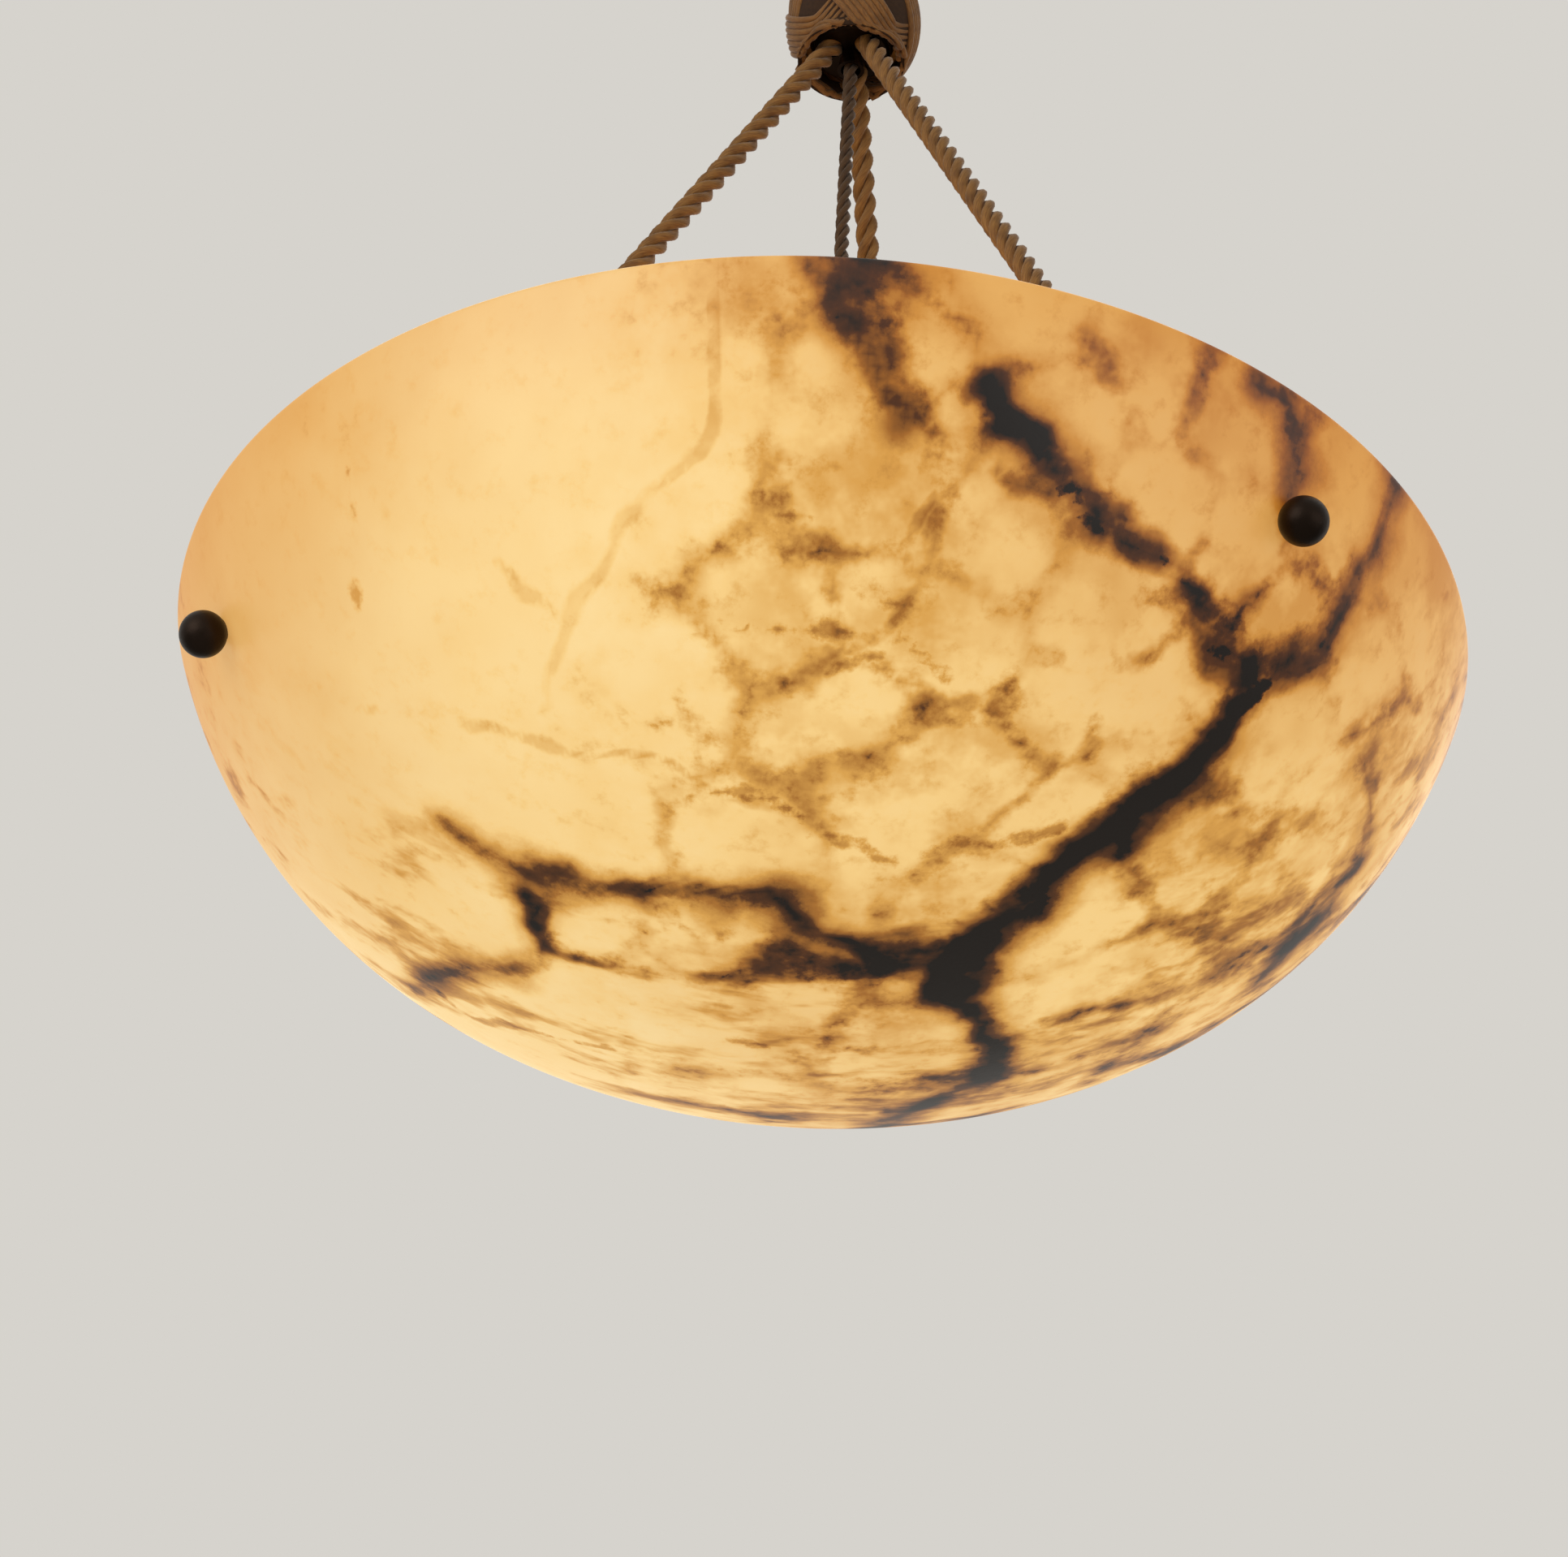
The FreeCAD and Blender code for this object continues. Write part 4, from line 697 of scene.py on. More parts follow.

# %% [markdown]
# Alabaster is a soft, translucent stone. This block is honey cream, in pale lumps with
# brown creases between them, crossed by dark brown and black veins with brown stains
# beside them, and by fine tan cracks. A plain noise can't put these where they are, so
# their routes and spots were read off the photograph, and are written here as places in
# plan, seen from above, in millimetres.
# %% Routes of the veins
# one dark vein and one brown stain, at sling 1's anchor hole, are partly a painted shadow of that
# sling
# half the width at the first and the last point, and the points
DARK_VEINS_AND_SHADOW = [
    (1.4, 1.8, [(163, -119), (158, -116), (157, -113), (154, -111), (152, -108), (148, -107),
                (146, -104), (141, -101), (135, -100)]),
    (2.4, 5.2, [(135, -100), (129, -101), (125, -102), (119, -97)]),
    (2.2, 2.6, [(44, -184), (46, -181), (47, -178), (49, -176), (57, -173), (59, -170),
                (64, -164)]),
    (3.2, 3.6, [(64, -164), (67, -159), (73, -154), (81, -149)]),
    (3.0, 2.0, [(81, -149), (90, -144), (97, -138), (102, -133), (105, -126), (107, -121)]),
    (2.2, 4.0, [(107, -121), (114, -113), (123, -106)]),
    (1.8, 0.6, [(44, -184), (37, -183)]),
    (2.2, 1.0, [(49, -176), (43, -174)]),
    (1.8, 0.5, [(65, -158), (54, -166)]),
    (3.6, 2.6, [(125, -102), (119, -96), (115, -91), (107, -87), (101, -82)]),
    (2.4, 3.2, [(101, -82), (95, -79), (87, -73), (80, -70), (74, -64)]),
    (2.6, 2.2, [(74, -64), (69, -57), (65, -49), (56, -43)]),
    (2.4, 5.5, [(56, -43), (50, -36), (45, -30)]),
    (5.5, 2.4, [(45, -30), (43, -21), (48, -7)]),
    (2.4, 1.2, [(48, -7), (56, 6), (60, 23), (57, 41), (50, 57), (45, 66), (30, 96),
                (22, 120)]),
    (1.6, 1.3, [(34, -31), (23, -33), (14, -39), (7, -42), (0, -44), (-4, -52), (-9, -55)]),
    (2.6, 2.2, [(-9, -55), (-13, -55)]),
    (1.0, 1.3, [(-13, -55), (-25, -54), (-32, -54), (-39, -53), (-49, -50), (-57, -49),
                (-67, -48), (-75, -47)]),
    (1.2, 0.4, [(-75, -47), (-83, -47), (-94, -48), (-98, -51), (-106, -55)]),
    (2.6, 1.2, [(-77, -47), (-77, -31), (-76, -18), (-74, -12)]),
    (0.6, 1.2, [(-123, 57), (-110, 25), (-100, 13), (-90, 7), (-80, -3), (-74, -12)]),
    (1.3, 1.1, [(-74, -12), (-64, -13), (-56, -12), (-42, -14), (-32, -18), (-21, -22),
                (-15, -25)]),
    (0.2, 0.4, [(-7, -199), (-2, -197), (-3, -195), (1, -193), (6, -191), (9, -189)]),
    (0.6, 0.2, [(9, -189), (10, -186), (13, -184), (17, -180)]),
    (0.2, 0.9, [(15, -199), (20, -197), (26, -195), (32, -193), (37, -191)]),
    # from sling 1's anchor hole up to the rim: partly a vein, partly the sling's painted shadow
    (0.6, 0.8, [(116, -161), (121, -157), (125, -152), (128, -145), (130, -141)]),
    (0.9, 0.7, [(160, -2), (167, -5), (168, -26), (158, -55)]),
    (1.0, 0.6, [(142, 31), (149, 19), (157, 12)]),
]
# reach at the first and the last point, weight, and the points
BROWN_STAINS_AND_SHADOW = [
    (10, 12, 0.7, [(5, -199), (9, -195), (13, -190), (18, -183)]),
    (5, 4, 0.6, [(44, -128), (51, -123)]), (6, 5, 0.6, [(-35, -113), (-30, -108)]),
    (6, 8, 0.5, [(-50, -46), (-34, -42), (-16, -44)]), (5, 5, 0.5, [(-24, -20), (-6, -18)]),
    (7, 7, 0.8, [(40, -184), (50, -176), (62, -166), (74, -156), (92, -144)]),
    (8, 10, 0.8, [(98, -134), (108, -120), (120, -106)]),
    (8, 7, 0.7, [(150, -112), (138, -106), (126, -108)]),
    # beside that vein: partly a stain, partly the sling's painted shadow
    (9, 8, 0.6, [(116, -161), (124, -155), (131, -147)]),
    (8, 10, 0.75, [(118, -102), (106, -92), (92, -82), (78, -74), (66, -62), (54, -50)]),
    (12, 10, 0.9, [(48, -38), (42, -28), (44, -14)]),
    (7, 6, 0.7, [(50, 0), (58, 20), (54, 42)]),
    (7, 7, 0.8, [(28, -26), (16, -28), (2, -30), (-8, -34)]),
    (4, 4, 0.6, [(20, -37), (0, -47), (-12, -58), (-40, -55), (-74, -50)]),
    (6, 5, 0.7, [(-78, -46), (-78, -30), (-74, -12)]),
    (5, 4, 0.55, [(-74, -14), (-50, -14), (-20, -24)]),
    (4, 4, 0.55, [(-41, -112), (-36, -110), (-31, -103)]),
    (5, 5, 0.5, [(160, -4), (168, -20), (160, -52)]),
    (7, 6, 0.55, [(140, 34), (154, 14)]),
    (5, 4, 0.5, [(48, -127), (51, -121)]),
]
# half the width, and the points; the second kind is blotched
FAINT_CRACKS = [
    (0.5, [(-34, -197), (-31, -177), (-41, -168), (-52, -157), (-59, -148), (-67, -134),
            (-71, -128), (-73, -118), (-74, -104)]),
    (0.4, [(-87, -137), (-79, -133), (-73, -130)]),
    (0.35, [(-131, -79), (-82, -94), (-46, -100), (-23, -92), (-5, -86)]),
    (0.4, [(27, -167), (23, -163), (20, -159), (20, -155)]),
]
BLOTCHED_CRACKS = [
    (0.9, [(-35, -85), (-29, -92), (-20, -94), (-12, -91), (-6, -87), (-2, -80), (5, -78),
           (13, -77), (19, -74), (23, -73)]),
    (0.9, [(34, -75), (39, -78), (47, -77), (54, -74), (61, -75), (68, -79)]),
    (0.8, [(-18, -166), (-13, -163), (-7, -162), (-3, -158), (4, -153), (12, -150),
           (21, -146)]),
    (0.8, [(20, -141), (26, -133), (34, -128)]), (0.8, [(-41, -132), (-33, -133)]),
    (0.8, [(-27, -141), (-23, -138), (-19, -137)]),
    (0.8, [(-15, -142), (-8, -140), (2, -140), (7, -141)]),
    (0.8, [(0, -131), (9, -133), (15, -135)]),
    (0.9, [(-115, 36), (-109, 50), (-104, 56), (-87, 46), (-71, 42), (-58, 39)]),
    (0.9, [(-23, 15), (-12, 18)]),
    (0.8, [(-134, -138), (-131, -138)]), (0.8, [(-135, -131), (-134, -129)]),
    (0.8, [(-132, -125), (-131, -124)]), (0.8, [(-131, -113), (-131, -107)]),
]
# pale lumps of clean stone: how far each reaches, and its middle in plan
LUMPS = [
    (22, (64, -176)), (17, (92, -155)), (22, (82, -177)), (18, (115, -136)), (20, (142, -125)),
    (19, (129, -114)), (17, (83, -136)), (21, (101, -108)), (11, (61, -115)), (30, (5, -174)),
    (15, (42, -160)), (24, (131, -82)), (20, (155, -81)), (27, (177, -85)), (9, (52, -171)),
    (24, (26, -98)), (22, (7, -117)), (17, (-22, -77)), (26, (-69, -74)), (15, (46, -58)),
    (23, (81, -42)), (24, (94, -5)), (18, (-64, -34)), (21, (-26, -33)), (41, (-26, 9)),
    (34, (33, 23)), (33, (-103, -31)), (17, (26, -137)), (22, (-15, -143)), (14, (68, -78)),
    (26, (110, -53)), (26, (140, -28)), (25, (155, -52)), (28, (82, 30)), (17, (22, -188)),
    (16, (54, -189)), (19, (106, -162)), (14, (31, -180)), (14, (9, -148)), (22, (-44, -123)),
    (59, (-102, -163)), (56, (-136, -101)), (41, (-50, -173)), (38, (-82, -128)),
    (56, (-128, -55)), (38, (-81, 27)), (27, (173, 5)), (40, (-130, 40)), (34, (130, 60)),
]
# the far side of the block carries the same kinds of vein, turned half way round
FAR_VEINS = [DARK_VEINS_AND_SHADOW[index] for index in (0, 1, 2, 3, 4, 5, 24, 25)]
DARK_VEINS_AND_SHADOW += [(a, b, [(-x, -y) for x, y in way]) for a, b, way in FAR_VEINS]
BROWN_STAINS_AND_SHADOW += [(a, b, weight, [(-x, -y) for x, y in way])
                 for a, b, weight, way in BROWN_STAINS_AND_SHADOW[1:5]]
FAINT_CRACKS += [(half, [(-x * 0.9, -y) for x, y in way]) for half, way in FAINT_CRACKS[:2]]
LUMPS += [(wide * 1.2, (-x, -y)) for wide, (x, y) in LUMPS if y < -70]
LUMPS += [(36, (40, 75)), (34, (-20, 70))]
print(len(DARK_VEINS_AND_SHADOW), "dark veins,", len(BROWN_STAINS_AND_SHADOW), "stains,", len(LUMPS), "lumps")

# %% [markdown]
# A vein goes through the whole wall, so a point of the inside takes the place of the skin
# outside it, along the line from the middle of its arc. These places are then moved about
# by two sizes of smooth noise, so that the straight runs of the routes wander as veins
# do. The noise has a seed, because without one it differs from run to run.
# %% Places on the skin
WANDERS = ((24.0, 4.5), (9.0, 2.4))     # size of the noise, and how far it moves a place
spots = np.empty(len(stone.data.vertices) * 3, dtype=np.float32)
stone.data.vertices.foreach_get("co", spots)
spots = spots.reshape(-1, 3).astype(float) / MM
spots[:, 2] -= RIM_Z
reach = np.hypot(spots[:, 0], spots[:, 1])
crowned = reach * math.cos(CROWN_TURN) < (CROWN_RISE - spots[:, 2]) * math.sin(CROWN_TURN)
from_r = np.where(crowned, 0.0, SHOULDER_OUT)
from_z = np.where(crowned, CROWN_RISE, SHOULDER_RISE)
spread = np.where(crowned, CROWN, SHOULDER) / np.hypot(reach - from_r, spots[:, 2] - from_z)
skin_r = from_r + (reach - from_r) * spread
skin_z = from_z + (spots[:, 2] - from_z) * spread
skin = np.column_stack((spots[:, 0] * skin_r / np.maximum(reach, 1e-6),
                        spots[:, 1] * skin_r / np.maximum(reach, 1e-6), skin_z))
noise.seed_set(11)
for size, amount in WANDERS:
    skin = skin + amount * np.array([noise.noise_vector(Vector(place / size))
                                     for place in skin])
print("places on the skin", len(skin))

# %% [markdown]
# Every vertex of the bowl is told how far it lies from the nearest vein, crack and stain,
# and how near it is to a crease, which is where two lumps are equally near. It is also
# told how much light it gets from the three bulbs. The shader reads these numbers as
# attributes. They are smooth, so the fine edges are left to the shader's own noise.
# %% Distances from the veins at every vertex
def on_stone(x, y):
    """The point of the bowl's outside that lies under a place in plan."""
    r = min(math.hypot(x, y), 199.9)
    if r < CROWN * math.sin(CROWN_TURN):
        return np.array((x, y, CROWN_RISE - math.sqrt(CROWN ** 2 - r * r)))
    rise = math.sqrt(max(SHOULDER ** 2 - (r - SHOULDER_OUT) ** 2, 0.0))
    return np.array((x, y, SHOULDER_RISE - rise))


def away_from(way, first, last):
    """The least distance to a route, less a width that goes from first to last."""
    places = [on_stone(x, y) for x, y in way]
    least = np.full(len(skin), 1e3)
    for index, (start, end) in enumerate(zip(places, places[1:])):
        run = end - start
        part = np.clip((skin - start) @ run / max(run @ run, 1e-6), 0.0, 1.0)
        gap = np.linalg.norm(skin - start - part[:, None] * run, axis=1)
        width = first + (last - first) * (index + part) / (len(places) - 1)
        least = np.minimum(least, gap - width)
    return least


dark = np.min([away_from(way, a, b) for a, b, way in DARK_VEINS_AND_SHADOW], axis=0)
faint = np.min([away_from(way, half, half) for half, way in FAINT_CRACKS], axis=0)
blotched = np.min([away_from(way, half, half) for half, way in BLOTCHED_CRACKS], axis=0)
brown = np.zeros(len(skin))
for a, b, weight, way in BROWN_STAINS_AND_SHADOW:
    gap = np.maximum(away_from(way, 0.0, 0.0), 0.0) / ((a + b) / 2)
    brown = np.maximum(brown, weight * np.exp(-gap ** 2))
near = np.sort([np.linalg.norm(skin - on_stone(x, y), axis=1) / wide
                for wide, (x, y) in LUMPS], axis=0)
crease = near[0] - near[1]
print("darkest veins", int((dark < 0).sum()), "vertices of", len(skin))

# %% [markdown]
# The glow falls with the distance from each bulb, and the lamps' hub shades the middle.
# Two more numbers say where the stone is streaked low down, and where it is lumpy.
# %% Glow, and the attributes of the stone
BULB_TURNS, BULBS_OUT, BULBS_BELOW = (13.0, 133.0, 253.0), 107, 24.0
HALF_GLOW = 110.0                        # the distance at which a bulb's share has halved
HUB_SHADE, HUB_SHADE_R = 0.16, 60.0
glow = np.zeros(len(skin))
for turn in BULB_TURNS:
    bulb = np.array((BULBS_OUT * math.cos(math.radians(turn)),
                     BULBS_OUT * math.sin(math.radians(turn)), -BULBS_BELOW))
    glow += 1.0 / (1.0 + (np.linalg.norm(skin - bulb, axis=1) / HALF_GLOW) ** 2)
glow -= HUB_SHADE * np.exp(-(reach / HUB_SHADE_R) ** 2)
measures = {"dark": np.clip(dark, -20, 20), "faint": np.clip(faint, -12, 12),
            "blotched": np.clip(blotched, -12, 12), "brown": brown,
            "crease": np.clip(crease, -1.5, 0.0), "glow": glow,
            "low": np.clip((skin[:, 1] + 75.0) / 60.0, 0.0, 1.0),
            "lumped": np.clip((skin[:, 0] + 95.0) / 90.0, 0.12, 1.0)}
for name, values in measures.items():
    layer = stone.data.attributes.new(name, "FLOAT", "POINT")
    layer.data.foreach_set("value", values.astype(np.float32))
print("glow", round(float(glow.min()), 2), round(float(glow.max()), 2))

# %% [markdown]
# Polished alabaster is cloudy at every size, so its shader starts with noises of patches
# from 90 mm down to 1.6 mm across. Two of rounded lumps in lumps are high in the creases
# between them, and a drawn out one gives the streaks. All of them and the attributes are
# kept under their names, so that the next cells can be short tables.
# %% Patterns of the alabaster
alabaster, stone_shader = new_material("polished_honey_alabaster")
where = add_node(alabaster, "ShaderNodeTexCoord").outputs["Object"]


def pushed(size, amount):
    """Places pushed about by noise of one size, by up to an amount, in millimetres."""
    push = add_node(alabaster, "ShaderNodeTexNoise", Vector=where, Scale=1 / (size * MM),
                    Detail=3.0, Roughness=0.55)
    centred = add_node(alabaster, "ShaderNodeVectorMath", {"operation": "SUBTRACT"},
                       i0=push.outputs[1], i1=(0.5, 0.5, 0.5))
    return add_node(alabaster, "ShaderNodeVectorMath", {"operation": "MULTIPLY_ADD"},
                    i0=centred.outputs[0], i1=(2 * amount * MM,) * 3, i2=where).outputs[0]


across = add_node(alabaster, "ShaderNodeMapping", Vector=pushed(30, 5),
                  Scale=(0.3, 1.0, 1.0)).outputs[0]
layers = {name: add_node(alabaster, "ShaderNodeAttribute", {"attribute_name": name}).outputs[2]
          for name in measures}
for name, size, detail, roughness, place in (
        ("broad", 90, 3.0, 0.55, where), ("mid", 26, 4.0, 0.6, where),
        ("small", 7, 4.0, 0.65, where), ("fine", 1.6, 3.0, 0.7, where),
        ("patch", 42, 2.0, 0.55, where), ("streak", 20, 4.0, 0.6, across)):
    layers[name] = add_node(alabaster, "ShaderNodeTexNoise", Vector=place,
                            Scale=1 / (size * MM), Detail=detail,
                            Roughness=roughness).outputs[0]
for name, size, place in (("lumpy", 13, pushed(12, 5)), ("cloudy", 30, pushed(30, 12))):
    layers[name] = add_node(alabaster, "ShaderNodeTexVoronoi",
                            {"feature": "SMOOTH_F1", "normalize": True}, Vector=place,
                            Scale=1 / (size * MM), Detail=2.0, Roughness=0.55,
                            Smoothness=0.35).outputs["Distance"]
print("alabaster patterns", len(layers))

# %% [markdown]
# A distance from a vein is smooth, so a stain drawn from it would have a clean edge. Each
# is therefore moved up and down by the noises, by amounts in the distance's own unit, and
# the edge becomes as jagged as the real one at every size. Two factors are kept beside
# them: one fades the veins' wide fringe out in places, and one makes some creases deep.
# %% Roughened distances
for name, value, noises in (
        ("veined", "dark", (("mid", 9.0), ("lumpy", -7.0), ("small", 6.0), ("fine", 2.5))),
        ("creased", "crease", (("cloudy", 0.8), ("lumpy", 0.6), ("mid", 1.2), ("small", 0.6))),
        ("stained", "brown", (("mid", 0.9), ("lumpy", 0.6), ("small", 0.6), ("fine", 0.2))),
        ("cracked", "faint", (("small", 1.4), ("fine", 0.7))),
        ("mottled", "blotched", (("mid", 9.0), ("small", 6.0), ("fine", 2.0)))):
    layers[name] = layers[value]
    for pattern, amount in noises:
        centred = add_node(alabaster, "ShaderNodeMath", {"operation": "SUBTRACT"},
                           i0=layers[pattern], i1=0.5)
        layers[name] = add_node(alabaster, "ShaderNodeMath", {"operation": "MULTIPLY_ADD"},
                                i0=centred.outputs[0], i1=amount, i2=layers[name]).outputs[0]
for name, pattern, start, end, least, most in (
        ("in_places", "broad", 0.35, 0.6, 0.0, 1.0), ("present", "patch", 0.38, 0.56, 0.35, 1.1)):
    layers[name] = add_node(alabaster, "ShaderNodeMapRange",
                            {"interpolation_type": "SMOOTHSTEP"}, Value=layers[pattern],
                            From_Min=start, From_Max=end, To_Min=least,
                            To_Max=most).outputs[0]
print("roughened distances ready")

# %% [markdown]
# The stains are added up to one depth, because real stains lie over each other in the
# thickness of the stone. Each is a soft step: what it reads, where the step starts and
# ends, how deep it is at its end, and the factors that it is multiplied by.
# %% Depth of stain in the alabaster
STAINS = (
    ("veined", 0.3, -1.9, 0.7, ()),                              # black core of a vein
    ("veined", 5.0, 0.0, 0.24, ()),                              # brown beside it
    ("veined", 14.0, 0.0, 0.42, ("in_places",)),                 # wide fringe
    ("creased", -0.85, -0.1, 0.26, ("lumped", "present")),       # sides of a crease
    ("creased", -0.3, 0.15, 0.45, ("lumped", "present")),        # its bottom
    ("mid", 0.35, 0.62, 0.14, ("lumped", "present")),            # haze among the creases
    ("lumped", 0.5, 1.0, 0.08, ()),
    ("stained", 0.1, 0.95, 0.5, ()),
    ("cracked", 2.4, 0.7, 0.12, ()),
    ("mottled", 1.8, -1.0, 0.26, ()),
    ("streak", 0.48, 0.7, 0.3, ("low",)),
    ("small", 0.5, 0.8, 0.1, ()),                                # clouds in clean stone
    ("broad", 0.4, 0.65, 0.07, ()),
)
depth = 0.0
for source, start, end, most, factors in STAINS:
    stain = add_node(alabaster, "ShaderNodeMapRange", {"interpolation_type": "SMOOTHSTEP"},
                     Value=layers[source], From_Min=start, From_Max=end,
                     To_Max=most).outputs[0]
    for factor in factors:
        stain = add_node(alabaster, "ShaderNodeMath", {"operation": "MULTIPLY"}, i0=stain,
                         i1=layers[factor]).outputs[0]
    depth = add_node(alabaster, "ShaderNodeMath", {"operation": "ADD"}, i0=depth,
                     i1=stain).outputs[0]
print(len(STAINS), "stains laid")

# %% [markdown]
# A colour ramp turns the depth of stain into the stone's colour, from cream through honey
# and brown to nearly black. Light from inside comes through as emission, which is the
# quick way to show a lit translucent wall. Stone far from a bulb glows less, and what gets
# through there is more orange. The same colour, much darker, is the surface that the
# studio's lamps see.
# %% Colours of the alabaster
BANDS = ((0.0, "#FFE2A4"), (0.12, "#FBD68E"), (0.28, "#DFA953"), (0.46, "#A9702B"),
         (0.68, "#542F10"), (0.95, "#0E0603"))
ramp = add_node(alabaster, "ShaderNodeValToRGB", Fac=depth)
elements = ramp.color_ramp.elements
elements[-1].position = BANDS[-1][0]
for at, colour in BANDS[1:-1]:
    elements.new(at)
for element, (at, colour) in zip(elements, BANDS):
    element.color = linear(colour)
lit = add_node(alabaster, "ShaderNodeMapRange", {"interpolation_type": "SMOOTHSTEP"},
               Value=layers["glow"], From_Min=0.55, From_Max=1.12)
light = add_node(alabaster, "ShaderNodeMix", {"data_type": "RGBA"}, i0=lit.outputs[0],
                 i6=linear("#CC9848"), i7=linear("#FFFFFF"))
for tint, socket in ((light.outputs[2], "Emission Color"), (linear("#A28F62"), "Base Color")):
    tinted = add_node(alabaster, "ShaderNodeMix",
                      {"data_type": "RGBA", "blend_type": "MULTIPLY"}, i0=1.0,
                      i6=ramp.outputs[0], i7=tint)
    link(alabaster, tinted.outputs[2], stone_shader.inputs[socket])
bump = add_node(alabaster, "ShaderNodeBump", Height=layers["small"], Strength=0.25,
                Distance=0.3 * MM)
link(alabaster, bump.outputs["Normal"], stone_shader.inputs["Normal"])
stone_shader.inputs["Emission Strength"].default_value = 0.8
stone_shader.inputs["Roughness"].default_value = 0.42
stone_shader.inputs["IOR"].default_value = 1.52
stone.data.materials.append(alabaster)
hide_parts("bowl")
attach(stone, "bowl_group")
print("bowl dressed,", len(alabaster.node_tree.nodes), "nodes")

# %% [markdown]
# The metal parts are of four kinds: old brass with a spun or turned skin, zinc-plated
# steel with a soft sparkle, blackened iron for the anchors and the knob's links, and
# bright plated sheet. All are one shader with its own colours, polish and tool marks.
# %% Metals
def metal(name, light, dark, roughness, grain, grain_depth, marks=(1.0, 1.0, 1.0)):
    """A metal with cloudy tone, uneven polish and fine marks left by its tool."""
    material, shader = new_material(name)
    place = add_node(material, "ShaderNodeTexCoord").outputs["Object"]
    # the clouds of the tone are about 22 mm across, and a grain of 300 is 3.3 mm
    cloudy = add_node(material, "ShaderNodeTexNoise", Vector=place, Scale=45.0, Detail=4.0)
    run = add_node(material, "ShaderNodeMapping", Vector=place, Scale=marks).outputs[0]
    cuts = add_node(material, "ShaderNodeTexNoise", Vector=run, Scale=grain, Detail=3.0)
    colour = add_node(material, "ShaderNodeMix", {"data_type": "RGBA"},
                      i0=cloudy.outputs["Fac"], i6=linear(dark), i7=linear(light))
    polish = add_node(material, "ShaderNodeMapRange", Value=cloudy.outputs["Fac"],
                      To_Min=roughness - 0.1, To_Max=roughness + 0.12)
    relief = add_node(material, "ShaderNodeBump", Height=cuts.outputs["Fac"], Strength=0.6,
                      Distance=grain_depth)
    link(material, colour.outputs[2], shader.inputs["Base Color"])
    link(material, polish.outputs[0], shader.inputs["Roughness"])
    link(material, relief.outputs["Normal"], shader.inputs["Normal"])
    shader.inputs["Metallic"].default_value = 1.0
    return material


# lathe marks run round the axis, so they are close together only along Z
brass = metal("aged_spun_brass", "#B08A4C", "#6E5029", 0.38, 300.0, 0.00006, (0.1, 0.1, 4.0))
zinc = metal("zinc_plated_steel", "#C8C8C2", "#92928C", 0.4, 500.0, 0.00004)
iron = metal("blackened_iron", "#3A2F28", "#120D0A", 0.42, 420.0, 0.00018)
dress(brass, "canopy", "canopy_screws", "hanger_ring", "rope_cap", "lamp_hub", "hub_finial")
dress(zinc, "mounting_strap", "ceiling_hook", "hook_nuts", "anchor_nuts")
dress(iron, "rope_socket", "gather_ring", "gather_cap")
for number in (1, 2, 3):
    dress(brass, f"sling_hook_{number}", f"lamp_arm_{number}", f"holder_cap_{number}")
    dress(iron, f"anchor_{number}")

print("brass, zinc and iron ready")

# %% [markdown]
# The screw base of a bulb is pressed from thin nickel-plated sheet. Its thread is drawn as
# waves in the surface, one for every 3 mm out from the pendant's axis, because each bulb
# points straight away from it. The block's clamp screws are tinned steel.
# %% Bulb bases and clamp screws
THREAD_PITCH = 3.0
nickel = metal("nickel_plated_cap", "#D2D0C8", "#A5A39B", 0.3, 500.0, 0.00003)
nickel_shader = nickel.node_tree.nodes["Principled BSDF"]
place = add_node(nickel, "ShaderNodeTexCoord").outputs["Object"]
flat = add_node(nickel, "ShaderNodeVectorMath", {"operation": "MULTIPLY"}, i0=place,
                i1=(1.0, 1.0, 0.0)).outputs[0]
far = add_node(nickel, "ShaderNodeVectorMath", {"operation": "LENGTH"}, i0=flat).outputs[1]
waves = add_node(nickel, "ShaderNodeMath", {"operation": "MULTIPLY"}, i0=far,
                 i1=2 * math.pi / (THREAD_PITCH * MM)).outputs[0]
crest = add_node(nickel, "ShaderNodeMath", {"operation": "SINE"}, i0=waves).outputs[0]
thread = add_node(nickel, "ShaderNodeBump", Height=crest, Strength=1.0, Distance=0.0004)
link(nickel, thread.outputs["Normal"], nickel_shader.inputs["Normal"])
dress(nickel, "bulb_base_1", "bulb_base_2", "bulb_base_3")
terminal_steel = metal("tinned_clamp_steel", "#C9C5BC", "#8F8B84", 0.34, 600.0, 0.00005)
dress(terminal_steel, "terminal_screws")
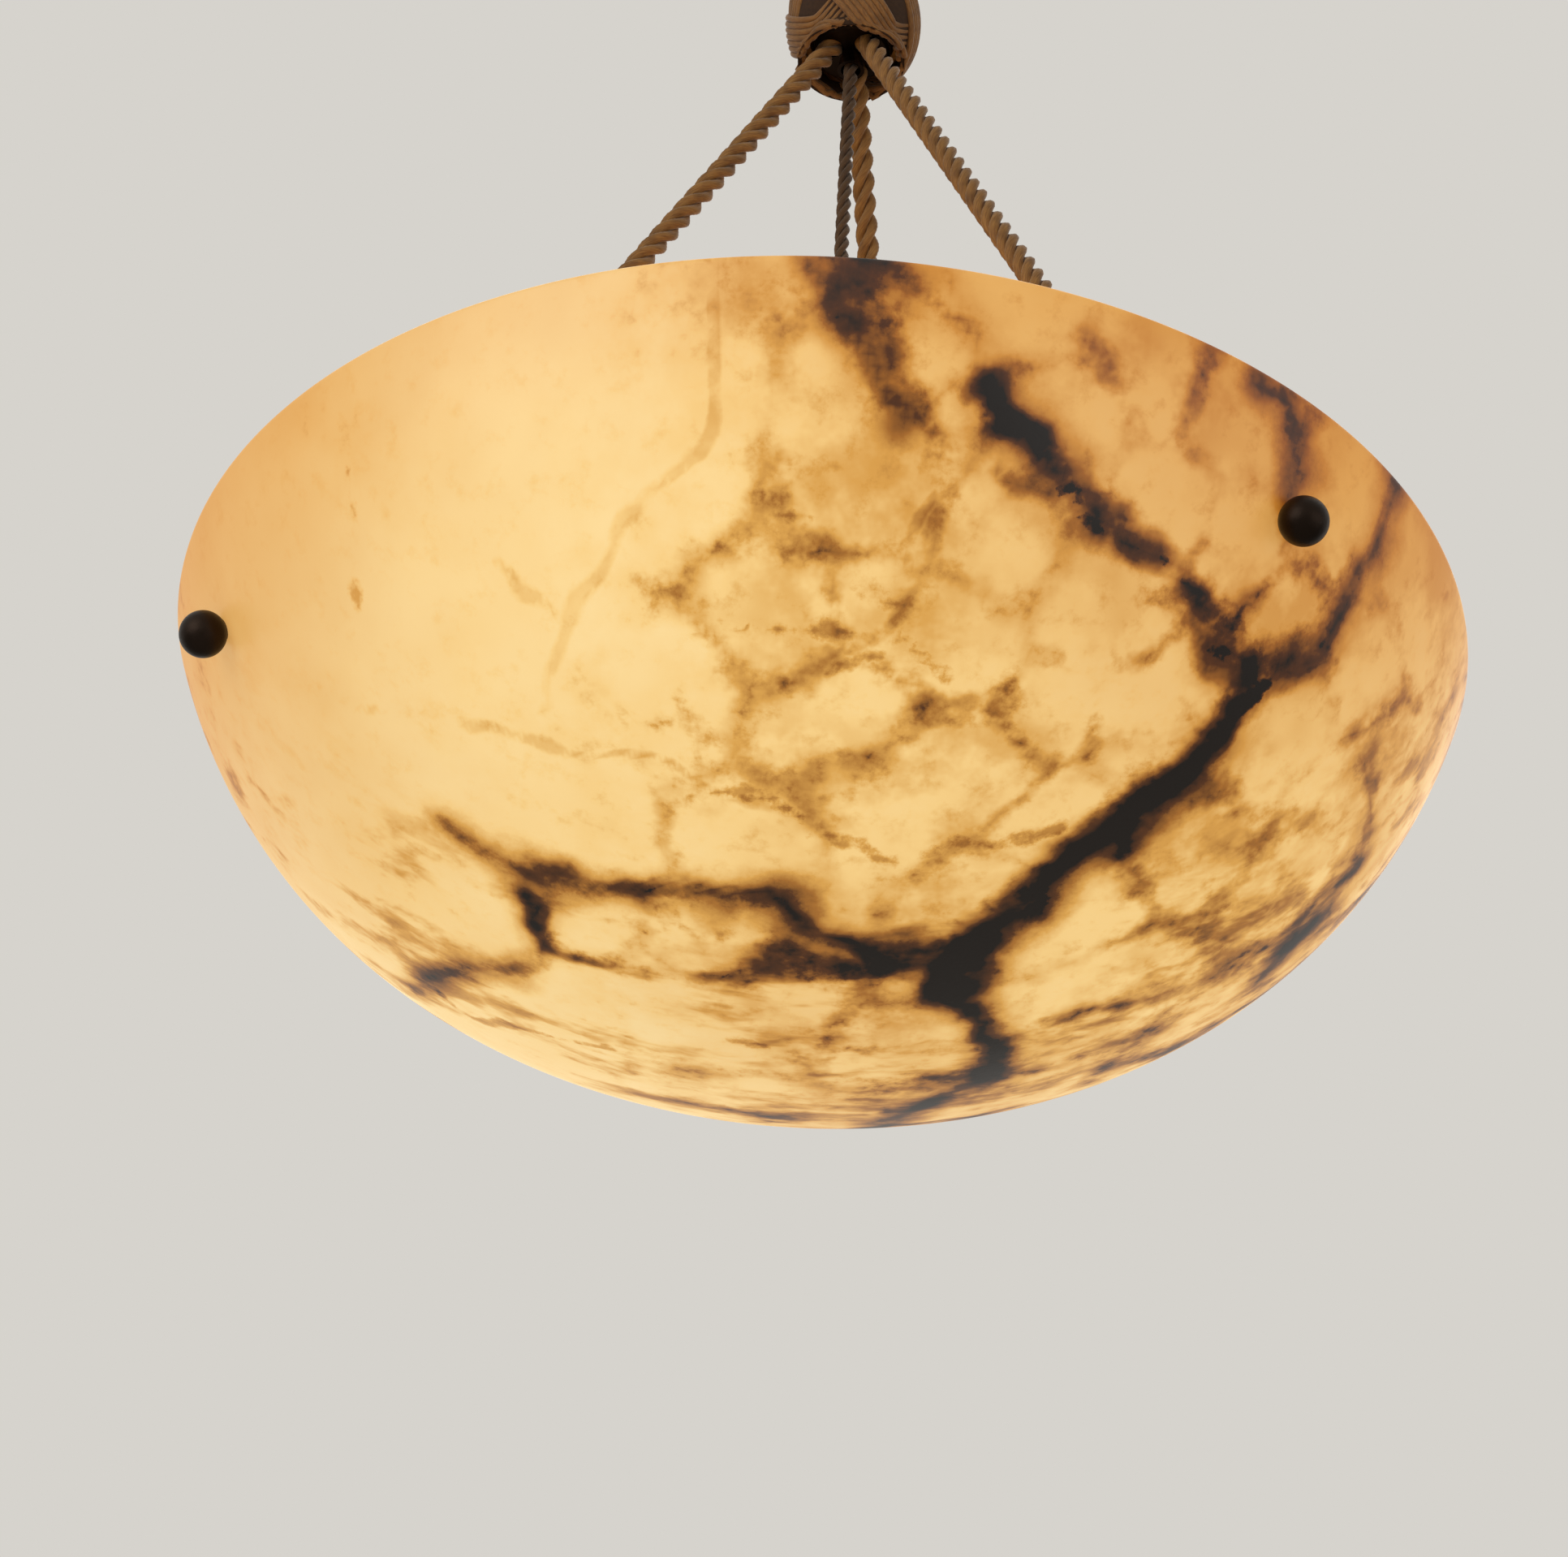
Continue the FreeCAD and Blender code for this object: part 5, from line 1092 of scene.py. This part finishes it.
print("bulb bases and clamp screws ready")

# %% [markdown]
# The rest is a moulded black resin for the lamp holders, white nylon for the terminal
# block and the cord grip, turned limewood under the knob, red vulcanised fibre washers
# and opal glass bulbs, which are lit.
# %% Other finishes
def plain(name, light, dark, roughness, scale, depth, stretch=(1.0, 1.0, 1.0)):
    """A non-metal with a fine uneven tone and a slight relief."""
    material, shader = new_material(name)
    place = add_node(material, "ShaderNodeTexCoord").outputs["Object"]
    run = add_node(material, "ShaderNodeMapping", Vector=place, Scale=stretch).outputs[0]
    grain = add_node(material, "ShaderNodeTexNoise", Vector=run, Scale=scale, Detail=4.0,
                     Roughness=0.6)
    colour = add_node(material, "ShaderNodeMix", {"data_type": "RGBA"},
                      i0=grain.outputs["Fac"], i6=linear(dark), i7=linear(light))
    relief = add_node(material, "ShaderNodeBump", Height=grain.outputs["Fac"], Strength=0.5,
                      Distance=depth)
    link(material, colour.outputs[2], shader.inputs["Base Color"])
    link(material, relief.outputs["Normal"], shader.inputs["Normal"])
    shader.inputs["Roughness"].default_value = roughness
    return material


resin = plain("moulded_phenolic_resin", "#2A221D", "#120E0B", 0.32, 220.0, 0.00005)
nylon = plain("moulded_nylon", "#EDE8DC", "#DCD6C8", 0.48, 160.0, 0.00004)
wood = plain("turned_limewood", "#B98D5A", "#8A6238", 0.6, 260.0, 0.00012, (1.0, 1.0, 0.15))
fibre = plain("vulcanised_fibre", "#8A3422", "#5E1F14", 0.7, 500.0, 0.0001)
opal = plain("opal_glass", "#FFF6E4", "#FFEFD2", 0.25, 60.0, 0.00001)
opal_shader = opal.node_tree.nodes["Principled BSDF"]
opal_shader.inputs["Emission Color"].default_value = linear("#FFE2AE")
opal_shader.inputs["Emission Strength"].default_value = 0.9
dress(nylon, "terminal_block", "cord_grip")
dress(wood, "knob_core")
dress(fibre, "anchor_washers")
for number in (1, 2, 3):
    dress(resin, f"lamp_holder_{number}", f"holder_ring_{number}")
    dress(opal, f"bulb_{number}")
print("finishes ready")
